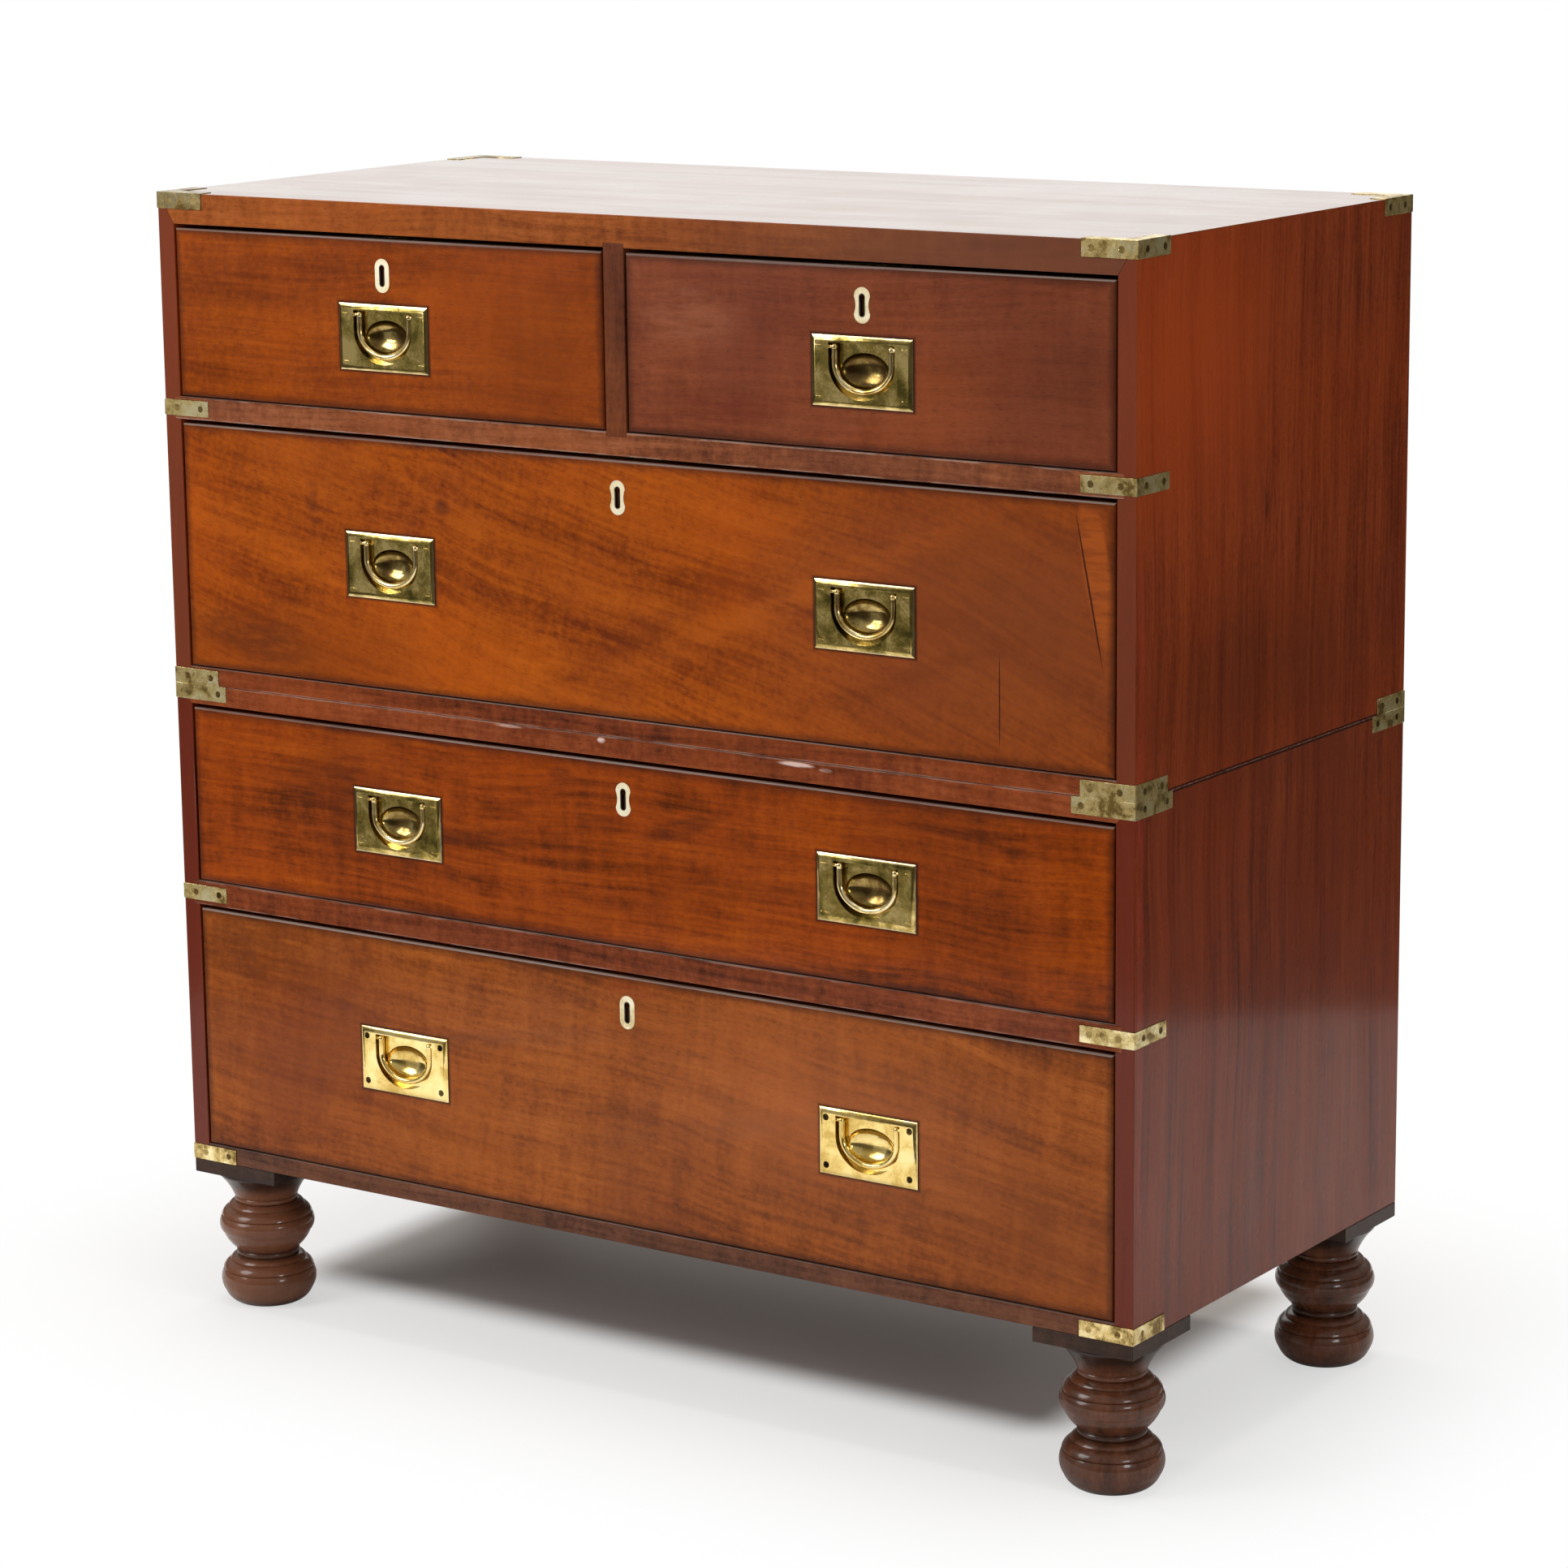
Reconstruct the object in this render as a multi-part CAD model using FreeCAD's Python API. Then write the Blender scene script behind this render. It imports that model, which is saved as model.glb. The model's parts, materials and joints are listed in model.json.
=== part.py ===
import FreeCAD, Part
import math
import os

# A two-part campaign chest of drawers: an upper case that lifts off a lower case, five drawers,
# recessed drop handles, sunk till locks, brass corner straps and four turned feet.
# Millimetres. +Z is up, the drawers face -Y, and the origin is on the floor under the middle.

# ---- the two cases
case_width = 990.0
case_depth = 460.0
side_thickness = 17.5
top_thickness = 27.0
upper_bottom_thickness = 16.0
lower_top_thickness = 18.0
base_thickness = 16.0
upper_rail_height = 20.0
lower_rail_height = 22.0
rail_depth = 65.0
rail_housing = 6.0
partition_thickness = 21.0
partition_housing = 4.0
side_runner_width = 22.0
middle_runner_width = 64.0
back_board_thickness = 10.0
back_rebate = 9.0
back_board_count = 3
back_board_gap = 0.8

# ---- the drawer openings, from the top down
short_opening_height = 152.0
deep_opening_height = 222.0
shallow_opening_height = 163.0
bottom_opening_height = 225.0

# ---- the drawers
front_thickness = 22.0
front_edge_radius = 2.4
short_handle_drop = 10.7
long_handle_drop = 1.5
drawer_side_thickness = 9.0
drawer_back_thickness = 9.0
drawer_bottom_thickness = 7.0
bottom_groove_depth = 4.5
bottom_groove_rise = 8.0
bottom_groove_play = 0.15
drawer_side_gap = 1.5
drawer_top_gap = 3.6
drawer_sill_gap = 1.0
runner_play = 0.3
drawer_stop_play = 0.5
side_drop = 4.0
back_drop = 5.0
dovetail_pitch = 46.0
dovetail_flare = 3.0
dovetail_share = 0.62
lap = 8.0

# ---- the recessed drop handles
handle_plate_width = 96.0
handle_plate_height = 57.0
handle_plate_proud = 2.0
handle_plate_inlay = 1.0
handle_plate_bevel_width = 3.0
handle_plate_bevel_depth = 1.5
bail_radius = 2.6
bail_eye_swell = 0.3
bail_half_width = 27.0
bail_pivot_height = 19.0
bail_grip_height = 6.0
bail_grip_drop = 22.0
bail_sink = 0.1
bail_floor_gap = 0.3
bail_side_gap = 1.6
bail_top_gap = 1.1
bail_foot_gap = 4.0
bail_pin_radius = 1.6
bail_pin_play = 0.07
bail_pin_seat = 2.5
bail_pin_end_gap = 0.6
tray_wall = 1.5
ear_wall = 1.9
ear_half_height = 3.6
cup_half_width = 23.0
cup_half_height = 15.0
cup_depth = 9.0
pocket_play = 0.6
plate_screw_inset_x = 7.0
plate_screw_inset_z = 8.0

# ---- the locks
lock_drop = 31.0
keyhole_rise = 6.0
keyhole_radius = 2.5
keyhole_slot_width = 3.2
keyhole_foot_drop = 9.0
escutcheon_half_width = 7.6
escutcheon_half_height = 14.5
escutcheon_waist = 6.1
escutcheon_thickness = 2.5
escutcheon_proud = 0.4
lock_half_width = 31.0
lock_height = 42.0
lock_case_depth = 10.0
lock_wall = 1.5
lock_back_plate_thickness = 2.0
lock_back_plate_margin = 9.0
selvedge_half_width = 35.0
selvedge_thickness = 2.5
lock_play = 0.3
bolt_half_width = 11.0
bolt_thickness = 6.0
bolt_length = 21.0
bolt_throw = 8.0
bolt_setback = 1.0
bolt_play = 0.15
bolt_notch_half_width = 3.0
bolt_notch_height = 3.0
key_pin_radius = 1.5
mortise_end_gap = 2.1
mortise_play = 1.5

# ---- the brass straps and their screws
strap_thickness = 1.6
strap_proud = 0.6
strap_height = 14.0
strap_leg = 50.0
joint_strap_leg = 58.0
strap_screw_near = 14.0
strap_screw_end_inset = 9.0
screw_head_radius = 2.9
screw_head_depth = 1.9
screw_shank_radius = 1.4
strap_screw_length = 10.5
plate_screw_length = 10.0
lock_screw_length = 8.0
slot_width = 0.7
slot_depth = 0.6

# ---- what the chest stands on, and what locates the upper case
block_thickness = 13.0
block_lip = 4.0
foot_edge_inset = 1.5
spigot_radius = 13.0
spigot_cover = 3.0
spigot_play = 0.08
spigot_end_gap = 0.5
peg_radius = 8.0
peg_cover = 6.0
peg_play = 0.1
peg_end_gap = 1.0
peg_inset = 60.0
peg_chamfer = 1.5

# ---- the turned feet, from the block down: collar, cove, ring, bulb, ring, larger bulb
foot_height = 125.0
foot_collar_radius = 42.5
foot_collar_height = 3.6
foot_collar_bulge = 0.7
foot_cove_height = 20.9
foot_cove_bulge = 1.3
foot_ring_height = 5.5
foot_ring_swell = 1.4
foot_neck_radius = 27.6
foot_bulb_radius = 43.5
foot_upper_bulb_height = 45.6
foot_shoulder_height = 12.5
foot_shoulder_inset = 2.2
foot_groove_height = 1.4
foot_groove_depth = 1.0
foot_turn_height = 16.5
foot_turn_inset = 3.2
foot_turn_bulge = 1.4
foot_toe_height = 10.5
foot_sole_radius = 30.5

# ---- room beyond a face, so that a cutter passes right through it
cut_overrun = 1.0

# ---- places worked out from the sizes above
half_width = case_width / 2
inner_half_width = half_width - side_thickness
front_y = -(case_depth + strap_proud - handle_plate_proud) / 2
back_y = front_y + case_depth
foot_top_z = foot_height
case_bottom_z = foot_height + block_thickness
bottom_opening_z = case_bottom_z + base_thickness
lower_rail_z = bottom_opening_z + bottom_opening_height
shallow_opening_z = lower_rail_z + lower_rail_height
lower_top_z = shallow_opening_z + shallow_opening_height
joint_z = lower_top_z + lower_top_thickness
deep_opening_z = joint_z + upper_bottom_thickness
upper_rail_z = deep_opening_z + deep_opening_height
short_opening_z = upper_rail_z + upper_rail_height
top_underside_z = short_opening_z + short_opening_height
chest_top_z = top_underside_z + top_thickness
rail_back_y = front_y + rail_depth
back_board_y = back_y - back_board_thickness
drawer_end_y = back_board_y - drawer_stop_play
short_centre_x = (inner_half_width + partition_thickness / 2) / 2

# ---- fits worked out from the sizes above
bail_eye_radius = bail_radius + bail_eye_swell
bail_axis_y = bail_eye_radius + bail_sink - handle_plate_proud
bail_pin_length = bail_eye_radius + bail_side_gap + bail_pin_seat
tray_half_width = bail_half_width + bail_eye_radius + bail_side_gap
tray_top = bail_pivot_height + bail_eye_radius + bail_top_gap
tray_grip_drop = bail_grip_drop + bail_radius + bail_foot_gap
tray_floor_y = bail_axis_y + bail_eye_radius + bail_floor_gap
ear_reach = tray_half_width + bail_pin_seat + bail_pin_end_gap + ear_wall
lock_back_y = front_thickness - lock_back_plate_thickness
lock_front_y = lock_back_y - lock_case_depth
bolt_front_y = lock_front_y + lock_wall + bolt_setback
bolt_back_y = bolt_front_y + bolt_thickness
mortise_depth = bolt_throw - drawer_top_gap + mortise_end_gap
foot_inset = foot_bulb_radius + foot_edge_inset
block_side = 2 * foot_inset + block_lip
spigot_length = block_thickness + base_thickness - spigot_cover
peg_sunk = lower_top_thickness - peg_cover
peg_stand = upper_bottom_thickness - peg_cover


def vec(x, y, z):
    return FreeCAD.Vector(x, y, z)


def box(x0, x1, y0, y1, z0, z1):
    corner = vec(min(x0, x1), min(y0, y1), min(z0, z1))
    return Part.makeBox(abs(x1 - x0), abs(y1 - y0), abs(z1 - z0), corner)


def rod(x, y, z, radius, length, direction):
    return Part.makeCylinder(radius, length, vec(x, y, z), direction)


def prism(points, travel):
    wire = Part.makePolygon(points + [points[0]])
    return Part.Face(wire).extrude(travel)


def carve(solid, tools):
    # take away only the tools that reach this solid
    near = [tool for tool in tools if solid.BoundBox.intersect(tool.BoundBox)]
    if not near:
        return solid
    return solid.cut(near).Solids[0]


def save(node, solids):
    solids = solids if isinstance(solids, list) else [solids]
    pieces = [solid for shape in solids for solid in shape.Solids]
    whole = pieces[0] if len(pieces) == 1 else Part.makeCompound(pieces)
    whole.exportStep("parts/%s.step" % node)


# ---- screws

def screw(x, y, z, direction, length):
    # countersunk and slotted; the head's face is at the point given and the shank runs along direction
    head = Part.makeCone(screw_head_radius, screw_shank_radius, screw_head_depth, vec(0, 0, 0), vec(0, 0, 1))
    shank = Part.makeCylinder(screw_shank_radius, length, vec(0, 0, 0), vec(0, 0, 1))
    slot = box(-screw_head_radius, screw_head_radius, -slot_width / 2, slot_width / 2, 0, slot_depth)
    body = head.fuse(shank)
    turn = FreeCAD.Rotation(vec(0, 0, 1), direction)
    place = FreeCAD.Placement(vec(x, y, z), turn)
    hole = body.copy()
    hole.Placement = place
    piece = body.cut(slot).Solids[0]
    piece.Placement = place
    return piece, hole


class Screws:
    # the pieces to keep, and the plain holes that they make
    def __init__(self):
        self.pieces = []
        self.holes = []

    def add(self, x, y, z, direction, length):
        piece, hole = screw(x, y, z, direction, length)
        self.pieces.append(piece)
        self.holes.append(hole)


# ---- brass straps

def strap(side, end, z0, leg, screws, capped=False):
    # an angle round one upright corner: side is -1 left or 1 right, end is -1 front or 1 back;
    # a capped strap also turns over onto the top of the case
    face_y = front_y if end < 0 else back_y
    outer_x = side * (half_width + strap_proud)
    outer_y = face_y + end * strap_proud
    inner_x = outer_x - side * strap_thickness
    inner_y = outer_y - end * strap_thickness
    z1 = z0 + strap_height + (strap_proud if capped else 0)
    front_leg = box(outer_x, side * (half_width - leg), outer_y, inner_y, z0, z1)
    side_leg = box(outer_x, inner_x, outer_y, face_y - end * leg, z0, z1)
    solid = front_leg.fuse(side_leg)
    if capped:
        cap_z = z1 - strap_thickness
        across = box(outer_x, side * (half_width - leg), outer_y, face_y - end * strap_height, cap_z, z1)
        along = box(outer_x, side * (half_width - strap_height), outer_y, face_y - end * leg, cap_z, z1)
        solid = solid.fuse([across, along])
    solid = solid.removeSplitter()
    middle_z = z0 + strap_height / 2
    holes = Screws()
    for reach in (strap_screw_near, leg - strap_screw_end_inset):
        holes.add(side * (half_width - reach), outer_y, middle_z, vec(0, -end, 0), strap_screw_length)
        holes.add(outer_x, face_y - end * reach, middle_z, vec(-side, 0, 0), strap_screw_length)
    screws.pieces += holes.pieces
    screws.holes += holes.holes
    return carve(solid, holes.holes), solid


# ---- cases

def mitred_boards(bottom, top, bottom_thickness, upper_thickness):
    # four boards that meet on the diagonal of each corner, as seen from the front
    depth = vec(0, case_depth, 0)
    low, high = bottom + bottom_thickness, top - upper_thickness
    outer = [vec(-half_width, front_y, bottom), vec(half_width, front_y, bottom),
             vec(half_width, front_y, top), vec(-half_width, front_y, top)]
    inner = [vec(-inner_half_width, front_y, low), vec(inner_half_width, front_y, low),
             vec(inner_half_width, front_y, high), vec(-inner_half_width, front_y, high)]
    boards = []
    for i in range(4):
        j = (i + 1) % 4
        boards.append(prism([outer[i], outer[j], inner[j], inner[i]], depth))
    rebate = box(-half_width + back_rebate, half_width - back_rebate, back_board_y, back_y,
                 bottom + back_rebate, top - back_rebate)
    bottom_board, right, top_board, left = [board.cut(rebate).Solids[0] for board in boards]
    return {"bottom": bottom_board, "right": right, "top": top_board, "left": left}


def back_boards(bottom, top):
    # the back is level boards, one above another, let into the rebate
    z0, z1 = bottom + back_rebate, top - back_rebate
    pitch = (z1 - z0 + back_board_gap) / back_board_count
    width = half_width - back_rebate
    boards = []
    for i in range(back_board_count):
        low = z0 + i * pitch
        boards.append(box(-width, width, back_board_y, back_y, low, low + pitch - back_board_gap))
    return boards


def rail(z0, height):
    reach = inner_half_width + rail_housing
    return box(-reach, reach, front_y, rail_back_y, z0, z0 + height)


def side_runners(z0, height):
    inner = inner_half_width - side_runner_width
    return [box(side * inner, side * inner_half_width, rail_back_y, back_board_y, z0, z0 + height)
            for side in (-1, 1)]


def lock_mortise(x, z):
    width = bolt_half_width + mortise_play
    y0, y1 = front_y + bolt_front_y - mortise_play, front_y + bolt_back_y + mortise_play
    return box(x - width, x + width, y0, y1, z, z + mortise_depth)


def foot_places():
    for end, end_name in ((-1, "front"), (1, "back")):
        for side, side_name in ((-1, "left"), (1, "right")):
            face_y = front_y if end < 0 else back_y
            x = side * (half_width - foot_inset)
            yield "%s_%s_foot" % (end_name, side_name), side, end, x, face_y - end * foot_inset


def corner_pegs():
    pegs = []
    for side in (-1, 1):
        for y in (front_y + peg_inset, back_y - peg_inset):
            peg = rod(side * (half_width - peg_inset), y, joint_z - peg_sunk, peg_radius,
                      peg_sunk + peg_stand, vec(0, 0, 1))
            top_edges = [edge for edge in peg.Edges if edge.BoundBox.ZMin > joint_z + peg_stand / 2]
            pegs.append(peg.makeChamfer(peg_chamfer, top_edges))
    return pegs


def make_upper_case():
    boards = mitred_boards(joint_z, chest_top_z, upper_bottom_thickness, top_thickness)
    screws = Screws()
    straps = []
    for side in (-1, 1):
        for end in (-1, 1):
            straps.append(strap(side, end, chest_top_z - strap_height, strap_leg, screws, capped=True))
            straps.append(strap(side, end, joint_z, strap_leg, screws))
        rail_strap_z = upper_rail_z + (upper_rail_height - strap_height) / 2
        straps.append(strap(side, -1, rail_strap_z, strap_leg, screws))
    tools = [plain for _, plain in straps] + screws.holes

    front_rail = rail(upper_rail_z, upper_rail_height)
    middle_runner = box(-middle_runner_width / 2, middle_runner_width / 2, rail_back_y, back_board_y,
                        upper_rail_z, short_opening_z)
    partition = box(-partition_thickness / 2, partition_thickness / 2, front_y, back_board_y,
                    short_opening_z - partition_housing, top_underside_z + partition_housing)
    peg_holes = [rod(peg.BoundBox.Center.x, peg.BoundBox.Center.y, joint_z, peg_radius + peg_play,
                     peg_stand + peg_end_gap, vec(0, 0, 1)) for peg in corner_pegs()]
    top_mortises = [lock_mortise(side * short_centre_x, top_underside_z) for side in (-1, 1)]

    save("upper_top", carve(boards["top"], tools + [partition] + top_mortises))
    save("upper_sides", [carve(boards[name], tools + [front_rail]) for name in ("left", "right")])
    save("upper_bottom", carve(boards["bottom"], tools + peg_holes))
    save("upper_back", [carve(board, tools) for board in back_boards(joint_z, chest_top_z)])
    rail_cuts = tools + [partition, lock_mortise(0, upper_rail_z)]
    save("upper_divider", [carve(front_rail, rail_cuts), carve(middle_runner, [partition])]
         + side_runners(upper_rail_z, upper_rail_height))
    save("upper_partition", partition)
    save("upper_straps", [brass for brass, _ in straps])
    save("upper_strap_screws", screws.pieces)


def make_lower_case():
    boards = mitred_boards(case_bottom_z, joint_z, base_thickness, lower_top_thickness)
    screws = Screws()
    straps = []
    for side in (-1, 1):
        for end in (-1, 1):
            straps.append(strap(side, end, joint_z - strap_height, joint_strap_leg, screws))
        straps.append(strap(side, -1, case_bottom_z, strap_leg, screws))
        rail_strap_z = lower_rail_z + (lower_rail_height - strap_height) / 2
        straps.append(strap(side, -1, rail_strap_z, strap_leg, screws))
    tools = [plain for _, plain in straps] + screws.holes

    front_rail = rail(lower_rail_z, lower_rail_height)
    pegs = corner_pegs()
    hole_radius, hole_length = spigot_radius + spigot_play, spigot_length + spigot_end_gap
    spigot_holes = [rod(x, y, foot_top_z, hole_radius, hole_length, vec(0, 0, 1))
                    for _, _, _, x, y in foot_places()]
    blocks = []
    for _, side, end, x, y in foot_places():
        face_y = front_y if end < 0 else back_y
        block = box(side * half_width, side * (half_width - block_side), face_y, face_y - end * block_side,
                    foot_top_z, case_bottom_z)
        blocks.append(carve(block, spigot_holes))

    save("lower_top", carve(boards["top"], tools + pegs + [lock_mortise(0, lower_top_z)]))
    save("lower_sides", [carve(boards[name], tools + [front_rail]) for name in ("left", "right")])
    save("lower_base", carve(boards["bottom"], tools + spigot_holes))
    save("lower_back", [carve(board, tools) for board in back_boards(case_bottom_z, joint_z)])
    save("lower_divider", [carve(front_rail, tools + [lock_mortise(0, lower_rail_z)])]
         + side_runners(lower_rail_z, lower_rail_height))
    save("lower_straps", [brass for brass, _ in straps])
    save("lower_strap_screws", screws.pieces)
    save("foot_blocks", blocks)
    save("locating_pegs", pegs)


# ---- turned feet

def foot_profile():
    # half section, drawn downwards; each stretch is a line, or an arc with the given bulge from its chord
    points = [vec(0, 0, 0)]
    edges = []

    def reach(radius, drop, bulge=0.0):
        start, finish = points[-1], vec(radius, 0, -drop)
        chord = finish - start
        outward = vec(-chord.z, 0, chord.x) / chord.Length
        middle = (start + finish) / 2 + outward * bulge
        edge = Part.Arc(start, middle, finish) if bulge else Part.LineSegment(start, finish)
        edges.append(edge.toShape())
        points.append(finish)

    def bulb(top, bottom, end_radius, turn_height):
        # a rounded shoulder, a turned groove, the belly, and the turn back in
        groove = top + foot_shoulder_height
        edge_radius = foot_bulb_radius - foot_shoulder_inset
        belly_end = foot_bulb_radius - foot_turn_inset
        reach(edge_radius, groove, foot_shoulder_inset)
        reach(edge_radius - foot_groove_depth, groove + foot_groove_height / 2)
        reach(edge_radius, groove + foot_groove_height)
        reach(belly_end, bottom - turn_height, (foot_shoulder_inset + foot_turn_inset) / 2)
        reach(end_radius, bottom, foot_turn_bulge)

    ring_top = foot_collar_height + foot_cove_height
    bulb_top = ring_top + foot_ring_height
    bulb_bottom = bulb_top + foot_upper_bulb_height
    reach(foot_collar_radius, 0)
    reach(foot_collar_radius, foot_collar_height, foot_collar_bulge)
    reach(foot_neck_radius + foot_ring_swell, ring_top, -foot_cove_bulge)
    reach(foot_neck_radius, ring_top)
    reach(foot_neck_radius, bulb_top, foot_ring_swell)
    bulb(bulb_top, bulb_bottom, foot_neck_radius, foot_turn_height)
    reach(foot_neck_radius, bulb_bottom + foot_ring_height, foot_ring_swell)
    bulb(bulb_bottom + foot_ring_height, foot_height, foot_sole_radius, foot_toe_height)
    reach(0, foot_height)
    reach(0, 0)
    return Part.Face(Part.Wire(edges))


def make_foot(x, y):
    turned = foot_profile().revolve(vec(0, 0, 0), vec(0, 0, 1), 360)
    spigot = rod(0, 0, 0, spigot_radius, spigot_length, vec(0, 0, 1))
    top_edges = [edge for edge in spigot.Edges if edge.BoundBox.ZMin > spigot_length / 2]
    foot = turned.fuse(spigot.makeChamfer(peg_chamfer, top_edges))
    foot.translate(vec(x, y, foot_top_z))
    return foot


# ---- recessed drop handles, made about the middle of the plate's place on the drawer front

def arch(grow, y0, y1):
    # the tray's outline as a prism: straight sides, and a half ellipse below
    half = tray_half_width + grow
    top = tray_top + grow
    start = bail_grip_height
    lowest = vec(0, y0, start - tray_grip_drop - grow)
    ellipse = Part.Ellipse(vec(-half, y0, start), lowest, vec(0, y0, start))
    curve = Part.ArcOfEllipse(ellipse, 0, math.pi).toShape()
    corners = [vec(half, y0, start), vec(half, y0, top), vec(-half, y0, top), vec(-half, y0, start)]
    sides = [Part.LineSegment(corners[i], corners[i + 1]).toShape() for i in range(3)]
    return Part.Face(Part.Wire([curve] + sides)).extrude(vec(0, y1 - y0, 0))


def cup(grow):
    # half of an ellipsoid below the tray's floor
    matrix = FreeCAD.Matrix()
    matrix.scale(cup_half_width + grow, cup_depth + grow, cup_half_height + grow)
    ball = Part.makeSphere(1.0).transformGeometry(matrix)
    ball.translate(vec(0, tray_floor_y, 0))
    return ball


def handle_plate():
    half_x, half_z = handle_plate_width / 2, handle_plate_height / 2
    face_y, rim_y = -handle_plate_proud, handle_plate_bevel_depth - handle_plate_proud
    flat_x, flat_z = half_x - handle_plate_bevel_width, half_z - handle_plate_bevel_width
    plate = box(-half_x, half_x, rim_y, handle_plate_inlay, -half_z, half_z)
    bevelled = Part.makeWedge(-flat_x, face_y, -flat_z, -half_z, -half_x, flat_x, rim_y, flat_z, half_z, half_x)
    boss = arch(tray_wall, 0, tray_floor_y + tray_wall)
    ears = [box(side * tray_half_width, side * ear_reach, 0, tray_floor_y + tray_wall,
                bail_pivot_height - ear_half_height, bail_pivot_height + ear_half_height) for side in (-1, 1)]
    behind = box(-half_x, half_x, tray_floor_y, tray_floor_y + 2 * cup_depth, -half_z, half_z)
    bowl = cup(tray_wall).common(behind)
    solid = plate.fuse([bevelled, boss, bowl] + ears)
    pin_reach = bail_half_width + bail_pin_length + bail_pin_end_gap
    pin_hole = rod(-pin_reach, bail_axis_y, bail_pivot_height, bail_pin_radius + bail_pin_play,
                   2 * pin_reach, vec(1, 0, 0))
    return solid.cut([arch(0, face_y - cut_overrun, tray_floor_y), cup(0), pin_hole]).Solids[0]


def bail():
    # a drop handle with straight cheeks and a half-elliptical grip, turning on two pins
    left = vec(-bail_half_width, bail_axis_y, bail_grip_height)
    right = vec(bail_half_width, bail_axis_y, bail_grip_height)
    lowest = vec(0, bail_axis_y, bail_grip_height - bail_grip_drop)
    ellipse = Part.Ellipse(left, lowest, (left + right) / 2)
    path = Part.Wire([Part.ArcOfEllipse(ellipse, 0, math.pi).toShape()])
    section = Part.Wire([Part.Circle(left, vec(0, 0, 1), bail_radius).toShape()])
    pieces = [path.makePipeShell([section], True, False)]
    for side, end in ((-1, left), (1, right)):
        eye = vec(end.x, bail_axis_y, bail_pivot_height)
        pieces.append(Part.makeCylinder(bail_radius, eye.z - end.z, end, vec(0, 0, 1)))
        pieces.append(Part.makeSphere(bail_eye_radius, eye))
        pieces.append(Part.makeCylinder(bail_pin_radius, bail_pin_length, eye, vec(side, 0, 0)))
    return pieces[0].fuse(pieces[1:])


def handle_pocket():
    # the stepped hole in the wood: a shallow bed for the plate, room for the tray and for the cup
    half_x, half_z = handle_plate_width / 2, handle_plate_height / 2
    bed = box(-half_x, half_x, -cut_overrun, handle_plate_inlay, -half_z, half_z)
    grow = tray_wall + pocket_play
    tray_room = arch(grow, 0, tray_floor_y + grow)
    ear_room = box(-ear_reach - pocket_play, ear_reach + pocket_play, 0, tray_floor_y + grow,
                   bail_pivot_height - ear_half_height - pocket_play,
                   bail_pivot_height + ear_half_height + pocket_play)
    cup_room = box(-cup_half_width - grow, cup_half_width + grow, 0, tray_floor_y + cup_depth + grow,
                   -cup_half_height - grow, cup_half_height + grow)
    return bed.fuse([tray_room, ear_room, cup_room])


# ---- locks, made about the point where the keyhole's line meets the front's top edge

def keyhole(y0, y1):
    round_z = keyhole_rise - lock_drop
    eye = rod(0, y0, round_z, keyhole_radius, y1 - y0, vec(0, 1, 0))
    slot = box(-keyhole_slot_width / 2, keyhole_slot_width / 2, y0, y1, -lock_drop - keyhole_foot_drop, round_z)
    return eye.fuse(slot)


def escutcheon(waist, y0, y1):
    # two round ends joined by sides that are straight, or drawn in to a waist
    half, end_z = escutcheon_half_width, escutcheon_half_height - escutcheon_half_width
    middle = -lock_drop
    edges = []
    for side in (1, -1):
        start = vec(-side * half, y0, middle + side * end_z)
        crown = vec(0, y0, middle + side * escutcheon_half_height)
        finish = vec(side * half, y0, middle + side * end_z)
        following = vec(side * half, y0, middle - side * end_z)
        edges.append(Part.Arc(start, crown, finish).toShape())
        if waist < half:
            edges.append(Part.Arc(finish, vec(side * waist, y0, middle), following).toShape())
        else:
            edges.append(Part.LineSegment(finish, following).toShape())
    return Part.Face(Part.Wire(edges)).extrude(vec(0, y1 - y0, 0))


def lock_pieces():
    # an open-backed case whose selvedge laps over the back plate, and what both need cut from the wood
    case = box(-lock_half_width, lock_half_width, lock_front_y, lock_back_y, -lock_height, -selvedge_thickness)
    selvedge = box(-selvedge_half_width, selvedge_half_width, lock_front_y, front_thickness,
                   -selvedge_thickness, 0)
    inner = lock_half_width - lock_wall
    inside = box(-inner, inner, lock_front_y + lock_wall, lock_back_y,
                 -lock_height + lock_wall, -selvedge_thickness)
    bolt_slot = box(-bolt_half_width - bolt_play, bolt_half_width + bolt_play, bolt_front_y - bolt_play,
                    bolt_back_y + bolt_play, -selvedge_thickness - cut_overrun, cut_overrun)
    key_pin = rod(0, lock_front_y, keyhole_rise - lock_drop, key_pin_radius, lock_case_depth, vec(0, 1, 0))
    key_way = keyhole(lock_front_y - cut_overrun, lock_front_y + lock_wall)
    case = case.fuse(selvedge).cut([inside, bolt_slot, key_way]).fuse(key_pin)
    plate_half = lock_half_width + lock_back_plate_margin
    plate = box(-plate_half, plate_half, lock_back_y, front_thickness, -lock_height, -selvedge_thickness)
    room = box(-lock_half_width - lock_play, lock_half_width + lock_play, lock_front_y, lock_back_y,
               -lock_height - lock_play, 0)
    return case.Solids, plate, [room, selvedge, plate]


def lock_bolt():
    body = box(-bolt_half_width, bolt_half_width, bolt_front_y, bolt_back_y, -bolt_length, 0)
    notch = box(-bolt_notch_half_width, bolt_notch_half_width, bolt_front_y, bolt_back_y, -bolt_length,
                -bolt_length + bolt_notch_height)
    return body.cut(notch)


# ---- drawers

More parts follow.
